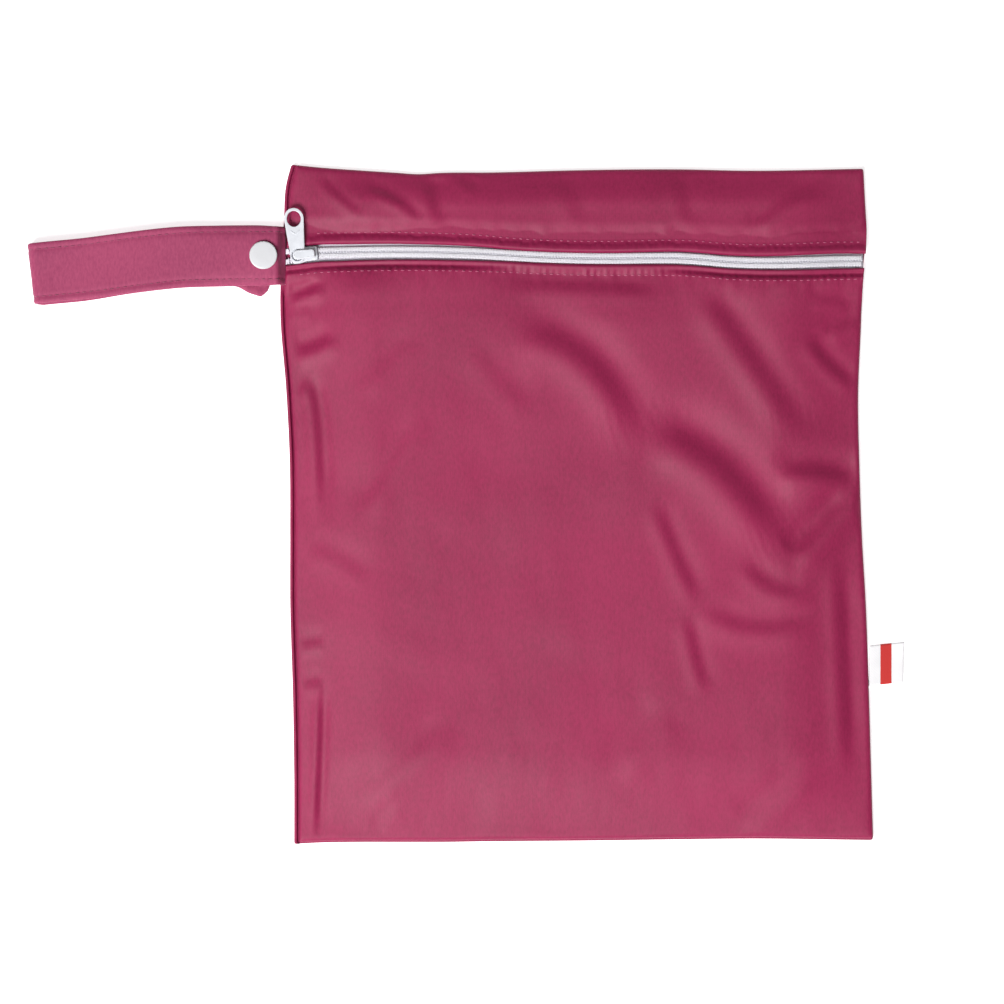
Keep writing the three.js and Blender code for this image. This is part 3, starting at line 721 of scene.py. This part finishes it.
def zip_stitches(material):
    lines = []
    for side in (-1, 1):
        x0 = -pouch_width / 2 + (10.5 if side > 0 else 3.0)
        count = int((pouch_width / 2 - 2 - x0) / stitch_pitch)
        for i in range(count):
            x = x0 + stitch_pitch * (i + 0.5) + stitch_reach * 1.5
            y = zip_y(x) + side * (band(x) + hem_width - (0.05 if side > 0 else 0.2))
            z = front_top(x, y) + 0.12 - 0.36 * (2 * stitch_reach) ** 4
            lines.append(np.stack([x, y, z], -1))
    tubes("pouch_stitches", lines, stitch_radius * stitch_swell, material)


# Strap


def strap_shift(t):
    return strap_width * track(STRAP, "shift", t)


def strap_line():
    """The band's middle line and how it turns, from the seam out to the fold and back to the free end."""
    fold_radius = (loop_gap + strap_thickness) / 2
    long = strap_length - fold_radius
    rise = loop_gap + strap_thickness - on_back
    out = np.concatenate([np.linspace(0, 0.08, 26), np.linspace(0.09, 0.995, 96)])
    slope = np.arctan2(strap_shift(out - 0.02) - strap_shift(out + 0.02), 0.04 * long)
    up = strap_thickness / 2 + on_back + rise * track(STRAP, "up", out)
    droop = 2.0 * smooth((out - 0.012) / 0.035) * (1 - smooth((out - 0.15) / 0.4))
    wide = 1 - seam_taper * (1 - smooth(out / 0.12))
    top = np.stack([strap_start - long * out, strap_y + strap_shift(out), up, slope, droop, wide, wide], -1)
    angle = np.linspace(0, math.pi, 19)
    lean = float(np.arctan2(strap_shift(np.array(0.98)) - strap_shift(np.array(1.02)), 0.04 * long))
    x = strap_start - long - fold_radius * np.sin(angle)
    y = strap_y + strap_shift(np.array(1.0)) - back_shift * angle / math.pi
    z = strap_thickness / 2 + fold_radius * (1 + np.cos(angle))
    even = np.ones(len(angle))
    bend = np.stack([x, y, z, lean * even, 0 * even, even, even], -1)
    end = (snap_inset - free_end_lap) / long
    back_t = np.concatenate([np.linspace(0.99, end + 0.04, 100), end + 0.04 * np.linspace(0.9, 0, 14)])
    close = 1 - smooth((back_t - snap_inset / long) / 0.2)
    twist = math.radians(-free_end_turn) * close
    past = snap_inset - long * back_t
    slope = np.arctan2(strap_shift(back_t - 0.02) - strap_shift(back_t + 0.02), 0.04 * long)
    y = strap_y + strap_shift(back_t) - back_shift * smooth((back_t - 0.62) / 0.25)
    y += np.sin(twist) * past * close
    up = strap_thickness / 2 + 1.6 * (1 - smooth((back_t - (snap_inset + 7) / long) / 0.12))
    from_end = (back_t - end) * long
    wide = 1 - 0.2 * (1 - np.sqrt(smooth(from_end / 2.6)))
    low = wide * (1 + (free_end_flare - 1) * close**2)
    high = wide * (1 - (1 - free_end_trim) * close**2)
    level = np.zeros(len(y))
    under = np.stack([strap_start - long * back_t, y, up, slope + twist, level, low, high], -1)
    return np.concatenate([top, bend, under])


def strap(material, thread):
    stations = strap_line()
    steps = len(stations)
    here = stations[:, :3]
    ahead = np.gradient(here, axis=0)
    ahead[:, 1] = 0
    ahead /= np.linalg.norm(ahead, axis=1, keepdims=True)
    inward = np.stack([-ahead[:, 2], np.zeros(steps), ahead[:, 0]], -1)
    w = np.sin(np.linspace(-0.5, 0.5, 45) * math.pi)
    run = np.arange(steps)[:, None]
    from_edge = (1 - np.abs(w)) * strap_width / 2
    edge = rounded(from_edge, 1.1)
    dent = 0.3 * np.exp(-(((from_edge - stitch_inset) / 0.8) ** 2)) - 0.08 * np.exp(-((from_edge - 1.6) ** 2))
    pucker = 0.09 * ripple(run * 1.5, w * 13, 9, 51) + 0.16 * ripple(run, w * 13, 26, 52)
    thick = (strap_thickness / 2) * (0.12 + 0.88 * edge)[None, :] - dent[None, :] * 0.8
    sides = []
    for face in (-1, 1):
        lifted = thick * face + pucker * edge[None, :] * 0.7
        reach = strap_width / 2 * w[None, :] * np.where(w[None, :] < 0, stations[:, 5:6], stations[:, 6:7])
        x = here[:, 0:1] - np.sin(stations[:, 3:4]) * reach + inward[:, 0:1] * lifted
        y = here[:, 1:2] + np.cos(stations[:, 3:4]) * reach
        z = here[:, 2:3] - stations[:, 4:5] * w[None, :] ** 4 + inward[:, 2:3] * lifted
        sides.append(np.stack([x, y, np.maximum(z, 0.02)], -1))
    loop = np.concatenate([sides[0], sides[1][:, ::-1]], axis=1)
    ring = loop.shape[1]
    faces = grid_faces(steps, ring, wrap=True, flip=True)
    for start, flip in ((0, True), ((steps - 1) * ring, False)):
        for k in range(len(w) - 1):
            quad = [start + k, start + k + 1, start + ring - 2 - k, start + ring - 1 - k]
            faces.append(quad if flip else quad[::-1])
    piece = make_piece("strap_band", loop.reshape(-1, 3), faces, material)
    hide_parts("strap_loop")
    strap_stitches(stations, inward, thread)


def strap_stitches(stations, inward, material):
    travel = np.concatenate([[0], np.cumsum(np.linalg.norm(np.diff(stations[:, :3], axis=0), axis=1))])
    lines = []
    for side in (-1, 1):
        for i in range(int(travel[-1] / stitch_pitch) - 1):
            s = 1.2 + stitch_pitch * (i + 0.5) + stitch_reach * 2.4
            cut = [np.interp(s, travel, stations[:, k]) for k in range(5)]
            out = [np.interp(s, travel, inward[:, k]) for k in (0, 2)]
            w = side * (1 - stitch_inset / (strap_width / 2))
            deep = -(strap_thickness / 2 - 0.16) + 0.34 * (2 * stitch_reach) ** 4
            x = cut[0] - np.sin(cut[3]) * w * strap_width / 2 + out[0] * deep
            y = cut[1] + np.cos(cut[3]) * w * strap_width / 2
            z = cut[2] - cut[4] * w**4 + out[1] * deep
            lines.append(np.stack([x, y, np.maximum(z, 0.1)], -1))
    tubes("strap_stitches", lines, stitch_radius * stitch_swell, material)


# Snap


def lathe(name, profile, level, material, node, sides=72):
    """A turned piece at the snap's place. The profile runs from the axis out and back to it, or closes."""
    profile = np.array(profile, float)
    closed = profile[0, 0] > 0
    angles = np.linspace(0, 2 * math.pi, sides, endpoint=False)
    x = strap_start - snap_inset + profile[:, 0:1] * np.cos(angles)
    y = strap_y + profile[:, 0:1] * np.sin(angles)
    z = np.broadcast_to(level + profile[:, 1:2], x.shape)
    points = np.stack([x, y, z], -1)
    if closed:
        points = np.concatenate([points, points[:1]])
    faces = grid_faces(len(points), sides, wrap=True)
    piece = make_piece(name, points.reshape(-1, 3), faces, material)
    join_meshes([piece.data], piece.data)
    shade_smooth(piece.data)
    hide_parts(node)


def snap(material):
    r = snap_diameter / 2
    rim = circle(r - 0.62, 0.62, 0.62, 0.62, -80, 88, 12)
    face = [(r - 1.2, 1.28), (r - 1.6, 1.3), (3.6, 1.38), (2.2, 1.42), (1.0, 1.45), (0, 1.46)]
    lathe("snap_front", [(0, 0), (r - 0.9, 0)] + rim + face, cap_front_level, material, "snap_cap_front")
    rim = circle(r - 0.55, 0.6, 0.55, 0.55, -88, 80, 10)
    profile = [(0, 0.02), (r - 0.9, 0.03)] + rim + [(r - 0.8, 1.2), (0, 1.25)]
    lathe("snap_back", profile, 0, material, "snap_cap_back")
    nub = circle(1.5, 1.95, 0.3, 0.3, 0, 90, 6)
    base = circle(4.95, 0.5, 0.25, 0.25, -60, 60, 6)
    stud = [(0, 0), (4.9, 0)] + base + [(4.6, 0.95), (1.75, 1.0), (1.7, 1.7)] + nub + [(0, 2.25)]
    lathe("snap_stud_part", stud, stud_level, material, "snap_stud")
    ring = [(2.1, 0.1), (2.2, 0), (5.0, 0), (5.2, 0.3), (5.2, 0.9), (4.9, 1.3)]
    ring += [(4.2, 1.4), (2.4, 1.4), (2.1, 1.2)]
    lathe("snap_socket_part", ring, socket_level, material, "snap_socket")


# Slider and puller


def circle(cx, cy, rx, ry, start=0, stop=360, steps=48):
    """Places round a circle or an ellipse, or along a part of it."""
    angles = np.radians(np.linspace(start, stop, steps, endpoint=stop - start < 360))
    return [(cx + rx * math.cos(a), cy + ry * math.sin(a)) for a in angles]


def join_meshes(meshes, mesh, weld=True):
    """Writes the meshes into one with its faces turned outwards."""
    whole = bmesh.new()
    for one in meshes:
        whole.from_mesh(one)
    if weld:
        bmesh.ops.remove_doubles(whole, verts=whole.verts, dist=1e-7)
    bmesh.ops.recalc_face_normals(whole, faces=whole.faces)
    whole.to_mesh(mesh)
    whole.free()


def slider(material):
    end = slider_start + slider_length
    nose, tail = shoulder_width / 2, tail_width / 2
    y = pivot_y
    left = circle(slider_start + 2, y, 2, nose, 90, 270, 16)
    right = [(slider_start + 4.2, y - nose), (slider_start + 7, y - tail - 0.1)]
    right += [(end - 0.5, y - tail), (end, y - tail + 0.5)]
    plan = left + right + [(a, 2 * y - b) for a, b in right[::-1]]
    lower = plate("lower", [plan], 0.9, 1.45, 0.3)
    upper = plate("upper", [plan], 1.1, upper_plate_level - 0.15, 0.42, 5)
    parts = [lower, upper]
    front, rear = slider_start + 5.4, end - 0.1
    for side in (-1, 1):
        low, high = sorted((y + side * 2.55, y + side * 3.1))
        box = [(front, low), (rear, low), (rear, high), (front, high)]
        parts.append(plate("flange", [box], 2.0, 4.0, 0.12))
    parts.append(plate("wedge", [circle(slider_start + 1.6, y, 0.8, 0.8)], 3.8, 2.0, 0.1))
    bar = circle(pivot_x, y, crown_width / 2, crown_width / 2, 90, 270, 20)
    bar += [(end - 2.4, y - 1.9), (end - 1.5, y - 1.5), (end - 1.2, y - 0.8)]
    bar += [(end - 1.2, y + 0.8), (end - 1.5, y + 1.5), (end - 2.4, y + 1.9)]
    parts.append(plate("bar", [bar], 1.0, 8.0, 0.42, 5))
    parts.append(plate("nose", [circle(pivot_x, y, 2.05, 2.05)], 2.4, 6.0, 0.15))
    leg = [(end - 2.6, y - 1.9), (end - 1.2, y - 1.7), (end - 1.2, y + 1.7), (end - 2.6, y + 1.9)]
    parts.append(plate("leg", [leg], 2.6, 6.0, 0.2))
    mesh = bpy.data.meshes.new("slider_casting")
    join_meshes(parts, mesh)
    turn = Matrix.Rotation(math.radians(slider_tilt), 4, "Z")
    mesh.transform(move(pivot_x, pivot_y, 0) @ turn @ move(-pivot_x, -pivot_y, 0))
    piece = link_object("slider_casting", mesh)
    remesh = piece.modifiers.new("fuse", "REMESH")
    remesh.mode = "VOXEL"
    remesh.voxel_size = 0.13 * MM
    soften = piece.modifiers.new("soften", "SMOOTH")
    soften.factor = 0.5
    soften.iterations = 3
    done = evaluated_mesh(piece)
    piece.modifiers.clear()
    piece.data = done
    shade_smooth(done)
    finish_piece(piece, material, "pouch")
    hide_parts("slider_body")


def puller(material):
    outline = circle(0, -0.3, 3.15, 3.4, 180, 360, 28) + circle(0, puller_reach, 4.4, 4.85, 0, 180, 40)
    eye = circle(0, 0, 2.65, 2.65, steps=40)
    hole = circle(0, puller_reach, 3.1, 3.5, steps=44)
    parts = [plate("pull", [outline, eye, hole], puller_thickness, puller_level, 0.3, 4)]
    for side in (-1, 1):
        a, b = np.array([side * 2.0, 10.9]), np.array([0.0, 9.3])
        across = np.array([(b - a)[1], -(b - a)[0]]) / np.linalg.norm(b - a) * 0.28
        quad = [tuple(a + across), tuple(b + across), tuple(b - across), tuple(a - across)]
        parts.append(plate("chevron", [quad if side < 0 else quad[::-1]], 0.4, puller_level + 0.78, 0.1))
    mesh = bpy.data.meshes.new("pull_plate")
    join_meshes(parts, mesh)
    mesh.transform(move(pivot_x, pivot_y, 0) @ Matrix.Rotation(math.radians(puller_lean), 4, "Z"))
    piece = link_object("pull_plate", mesh)
    smooth_by_angle(mesh, 40)
    finish_piece(piece, material, "pull")
    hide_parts("puller")


def smooth_by_angle(mesh, degrees):
    """Smooth shading that keeps the edges that are sharper than this."""
    shade_smooth(mesh)
    cut = bmesh.new()
    cut.from_mesh(mesh)
    for edge in cut.edges:
        edge.smooth = not (len(edge.link_faces) == 2 and edge.calc_face_angle() > math.radians(degrees))
    cut.to_mesh(mesh)
    cut.free()


# Side label


def label(material):
    """One ribbon out of the seam and back over itself."""
    middle = pouch_height * (label_place - 0.5)
    start = right_end(label_place) + 0.25
    t = np.linspace(0, 1, 26)
    sag = 0.85 * (1 - smooth(t / 0.8))
    low = [(label_reach * s, 0.22 + float(drop)) for s, drop in zip(t, sag)]
    high = [(x, z + 0.6) for x, z in low[::-1]]
    turn = circle(label_reach, 0.52, 0.3, 0.3, -90, 90, 9)[1:-1]
    line = np.array(low + turn + high)
    ahead = np.gradient(line, axis=0)
    ahead /= np.linalg.norm(ahead, axis=1, keepdims=True)
    v = np.linspace(0, 1, 21)[None, :]
    x = start + line[:, 0:1] + 0.5 * v
    y = middle + label_width * (v - 0.5) + 0.1 * line[:, 0:1]
    z = line[:, 1:2] + 0.06 * ripple(line[:, 0:1], v * label_width, 9, 61)
    out, up = -ahead[:, 1:2] * label_ply / 2, ahead[:, 0:1] * label_ply / 2
    upper, lower = ((x + out * s, y, np.maximum(z + up * s, 0.01)) for s in (1, -1))
    piece = shell("label_ribbon", upper, lower, material)
    join_meshes([piece.data], piece.data, weld=False)
    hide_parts("side_label")


# Materials


class Nodes:
    """A short way to write a material's nodes."""

    def __init__(self, name):
        self.material = bpy.data.materials.new(name)
        self.material.use_nodes = True
        self.tree = self.material.node_tree
        self.tree.nodes.clear()
        self.out = self.add("ShaderNodeOutputMaterial")
        self.shader = self.add("ShaderNodeBsdfPrincipled")
        self.link(self.shader, "BSDF", self.out, "Surface")

    def add(self, kind, settings=None, **inputs):
        node = self.tree.nodes.new(kind)
        for key, value in (settings or {}).items():
            setattr(node, key, value)
        for key, value in inputs.items():
            node.inputs[key.replace("_", " ")].default_value = value
        return node

    def link(self, a, out, b, into):
        self.tree.links.new(a.outputs[out], b.inputs[into])

    def place(self, scale):
        """Object coordinates scaled on each axis."""
        spot = self.add("ShaderNodeTexCoord")
        mapping = self.add("ShaderNodeMapping")
        mapping.inputs["Scale"].default_value = scale
        self.link(spot, "Object", mapping, "Vector")
        return mapping

    def noise(self, scale, detail=3.0, rough=0.55, stretch=(1, 1, 1)):
        node = self.add("ShaderNodeTexNoise", Scale=scale, Detail=detail, Roughness=rough)
        self.link(self.place(stretch), "Vector", node, "Vector")
        return node

    def wave(self, pitch, direction):
        """Even waves with one crest in each pitch, given in millimetres."""
        kind = {"bands_direction": direction, "wave_profile": "SIN"}
        node = self.add("ShaderNodeTexWave", kind, Scale=2 * math.pi / (pitch * MM) / 20, Distortion=0.0)
        self.link(self.place((1, 1, 1)), "Vector", node, "Vector")
        return node

    def math(self, kind, a, b, a_out="Fac"):
        node = self.add("ShaderNodeMath", {"operation": kind})
        self.link(a, a_out, node, 0)
        if isinstance(b, (int, float)):
            node.inputs[1].default_value = b
        else:
            self.link(b[0], b[1], node, 1)
        return node

    def ramp(self, source, out, stops):
        node = self.add("ShaderNodeValToRGB")
        while len(node.color_ramp.elements) < len(stops):
            node.color_ramp.elements.new(0.5)
        for element, (place, color) in zip(node.color_ramp.elements, stops):
            element.position = place
            element.color = color
        self.link(source, out, node, "Fac")
        return node

    def bump(self, source, out, strength, distance, under=None):
        node = self.add("ShaderNodeBump", Strength=strength, Distance=distance)
        self.link(source, out, node, "Height")
        if under is not None:
            self.link(under, "Normal", node, "Normal")
        return node

    def set(self, **values):
        for key, value in values.items():
            self.shader.inputs[key.replace("_", " ")].default_value = value


def linear(r, g, b):
    """A colour given as screen values from 0 to 255."""

    def one(v):
        v = v / 255
        return v / 12.92 if v <= 0.04045 else ((v + 0.055) / 1.055) ** 2.4

    return (one(r), one(g), one(b), 1)


def grey(value):
    return (value, value, value, 1)


def darker(color, share):
    return tuple(c * share for c in color[:3]) + (1,)


def knit_material(name, deep, light, rough=0.6, sheen=0.0, wale=0.9):
    """A smooth coated knit: fine upright wales, loops across them, a satin bloom and a slow colour drift."""
    n = Nodes(name)
    drift = n.noise(20, 2, 0.4)
    grain = n.noise(1100, 2, 0.6, (1, 0.4, 1))
    mixed = n.add("ShaderNodeMath", {"operation": "MULTIPLY_ADD"})
    n.link(grain, "Fac", mixed, 0)
    mixed.inputs[1].default_value = 0.7
    slow = n.ramp(drift, "Fac", [(0.0, grey(0.28)), (1.0, grey(0.72))])
    n.link(slow, "Color", mixed, 2)
    colours = n.ramp(mixed, 0, [(0.55, deep), (1.0, light)])
    n.link(colours, "Color", n.shader, "Base Color")
    rough_drift = n.ramp(drift, "Fac", [(0.3, grey(rough - 0.03)), (0.7, grey(rough + 0.04))])
    n.link(rough_drift, "Color", n.shader, "Roughness")
    wales = n.wave(wale, "X")
    loops = n.wave(wale * 0.8, "Y")
    knit = n.math("MULTIPLY", wales, (loops, "Fac"))
    first = n.bump(knit, 0, 0.25, 0.00006)
    second = n.bump(grain, "Fac", 0.25, 0.00006, first)
    n.link(second, "Normal", n.shader, "Normal")
    n.set(Sheen_Weight=sheen, Sheen_Roughness=0.3, Specular_IOR_Level=0.45)
    n.shader.inputs["Sheen Tint"].default_value = (1.0, 0.8, 0.88, 1)
    return n.material


def thread_material(name, color):
    n = Nodes(name)
    turns = n.noise(1500, 2, 0.5)
    colours = n.ramp(turns, "Fac", [(0.3, darker(color, 0.8)), (0.7, color)])
    n.link(colours, "Color", n.shader, "Base Color")
    bump = n.bump(turns, "Fac", 0.5, 0.0001)
    n.link(bump, "Normal", n.shader, "Normal")
    n.set(Roughness=0.5, Sheen_Weight=0.3)
    return n.material


def weave_material(name, color, pitch=0.45, band_color=None, band=None):
    """A fine woven tape: a slanting twill rib with a thread grain."""
    n = Nodes(name)
    rib = n.wave(pitch, "DIAGONAL")
    threads = n.noise(2200, 2, 0.5, (0.3, 1, 1))
    tint = n.noise(60, 2, 0.5)
    colours = n.ramp(tint, "Fac", [(0.25, darker(color, 0.86)), (0.75, color)])
    if band:
        spot = n.add("ShaderNodeTexCoord")
        split = n.add("ShaderNodeSeparateXYZ")
        n.link(spot, "Object", split, "Vector")
        near = n.math("GREATER_THAN", split, band[0], "X")
        far = n.math("LESS_THAN", split, band[1], "X")
        inside = n.math("MULTIPLY", near, (far, 0), 0)
        mix = n.add("ShaderNodeMix", {"data_type": "RGBA"})
        n.link(inside, 0, mix, "Factor")
        n.link(colours, "Color", mix, 6)
        mix.inputs[7].default_value = band_color
        n.link(mix, 2, n.shader, "Base Color")
    else:
        n.link(colours, "Color", n.shader, "Base Color")
    first = n.bump(rib, "Fac", 0.5, 0.00008)
    second = n.bump(threads, "Fac", 0.4, 0.00006, first)
    n.link(second, "Normal", n.shader, "Normal")
    n.set(Roughness=0.7, Sheen_Weight=0.2)
    return n.material


def nylon_material(name, color):
    n = Nodes(name)
    cloud = n.noise(500, 3, 0.5)
    colours = n.ramp(cloud, "Fac", [(0.3, darker(color, 0.9)), (0.75, color)])
    n.link(colours, "Color", n.shader, "Base Color")
    bump = n.bump(cloud, "Fac", 0.2, 0.00005)
    n.link(bump, "Normal", n.shader, "Normal")
    n.set(Roughness=0.38, Subsurface_Weight=0.15, Specular_IOR_Level=0.5)
    n.shader.inputs["Subsurface Radius"].default_value = (0.0008, 0.0008, 0.0008)
    return n.material


def paint_material(name, color):
    """Thick white enamel over a casting: a slight orange peel, a trace of grey wear in soft random patches.
    """
    n = Nodes(name)
    peel = n.noise(900, 2, 0.5)
    stain = n.noise(260, 4, 0.6)
    colours = n.ramp(stain, "Fac", [(0.28, darker(color, 0.88)), (0.6, color)])
    n.link(colours, "Color", n.shader, "Base Color")
    rough = n.ramp(stain, "Fac", [(0.3, grey(0.42)), (0.7, grey(0.28))])
    n.link(rough, "Color", n.shader, "Roughness")
    bump = n.bump(peel, "Fac", 0.15, 0.00006)
    n.link(bump, "Normal", n.shader, "Normal")
    n.set(Coat_Weight=0.25, Coat_Roughness=0.2, Specular_IOR_Level=0.5)
    return n.material


def plastic_material(name, color):
    n = Nodes(name)
    cloud = n.noise(120, 3, 0.5)
    pits = n.noise(1800, 2, 0.6)
    colours = n.ramp(cloud, "Fac", [(0.3, darker(color, 0.94)), (0.7, color)])
    n.link(colours, "Color", n.shader, "Base Color")
    bump = n.bump(pits, "Fac", 0.15, 0.00004)
    n.link(bump, "Normal", n.shader, "Normal")
    n.set(Roughness=0.36, Subsurface_Weight=0.1, Specular_IOR_Level=0.5)
    n.shader.inputs["Subsurface Radius"].default_value = (0.001, 0.001, 0.001)
    return n.material


def floor_material():
    n = Nodes("floor_paper")
    grain = n.noise(30, 3, 0.5)
    colours = n.ramp(grain, "Fac", [(0.3, (0.93, 0.93, 0.935, 1)), (0.7, (0.95, 0.95, 0.955, 1))])
    n.link(colours, "Color", n.shader, "Base Color")
    n.set(Roughness=0.9, Specular_IOR_Level=0.1, Emission_Strength=0.7, Emission_Color=(1, 1, 1, 1))
    return n.material


# Studio


def stage():
    floor = bpy.data.meshes.new("floor")
    half = floor_size / 2
    corners = [(-half, -half, 0), (half, -half, 0), (half, half, 0), (-half, half, 0)]
    floor.from_pydata(corners, [], [(0, 1, 2, 3)])
    floor.materials.append(floor_material())
    ground = link_object("floor", floor)
    ground.location.z = floor_level


def area_light(name, place, size, power):
    """A square light that faces the origin."""
    data = bpy.data.lights.new(name, "AREA")
    data.shape = "SQUARE"
    data.size = size
    data.energy = power
    lamp = link_object(name, data)
    lamp.location = place
    lamp.rotation_euler = (-Vector(place)).to_track_quat("-Z", "Y").to_euler()


def lights():
    area_light("key", (-0.8, -1.0, 1.75), 1.0, 67)
    area_light("fill", (0.3, 0.6, 2.4), 1.4, 5)
    world = bpy.data.worlds.new("studio")
    world.use_nodes = True
    sky = world.node_tree.nodes["Background"].inputs
    sky["Color"].default_value = (1, 1, 1, 1)
    sky["Strength"].default_value = 0.1
    bpy.context.scene.world = world
    bpy.context.scene.view_settings.view_transform = "Standard"


def camera():
    """Straight above the photograph's middle. A long lens frames all its pixels at the front's level."""
    data = bpy.data.cameras.new("camera")
    data.sensor_width = sensor
    data.lens = sensor * (camera_height - lens_level) / (photo_size * pixel * MM)
    data.clip_end = 50
    cam = link_object("camera", data)
    middle = photo_size / 2
    cam.location = ((middle - origin_column) * pixel * MM, (origin_row - middle) * pixel * MM, camera_height)
    bpy.context.scene.camera = cam


stage()
lights()
camera()

pouch_cloth = knit_material("pouch_knit", (0.207, 0.0045, 0.0455, 1), (0.305, 0.0085, 0.069, 1))
strap_cloth = knit_material("strap_knit", (0.25, 0.022, 0.085, 1), (0.37, 0.048, 0.125, 1), 0.7, 0.6, 0.7)
# The hem thread is its own pink lightened well above the cloth: partly real colour, partly a painted
# highlight for the sheen its stitches catch.
hem_thread_painted_highlight = thread_material("hem_thread_painted_highlight", linear(190, 86, 124))
# The strap's thread is set darker than the strap cloth, as painted shade for the dark needle holes between
# its stitches.
strap_thread_painted_shade = thread_material("strap_thread_painted_shade", linear(140, 50, 86))
white_thread = thread_material("white_thread", linear(232, 230, 236))
tape_weave = weave_material("tape_weave", linear(226, 222, 232))
coil_nylon = nylon_material("coil_nylon", linear(236, 234, 242))
enamel = paint_material("white_enamel", linear(218, 220, 226))
resin = plastic_material("snap_resin", linear(212, 212, 215))
label_start = right_end(label_place)
red_band = [(label_start + place) * MM for place in label_band]
ribbon = weave_material("label_weave", linear(240, 238, 240), 0.6, linear(196, 40, 36), red_band)

front_lower(pouch_cloth)
front_upper(pouch_cloth)
back(pouch_cloth)
zip_tape(-1, "tape_lower", "zip_tape_lower", tape_weave)
zip_tape(1, "tape_upper", "zip_tape_upper", tape_weave)
coil(-1, "coil_lower", "zip_coil_lower", coil_nylon)
coil(1, "coil_upper", "zip_coil_upper", coil_nylon)
coil_threads(white_thread)
zip_stitches(hem_thread_painted_highlight)
strap(strap_cloth, strap_thread_painted_shade)
snap(resin)
slider(enamel)
puller(enamel)
label(ribbon)
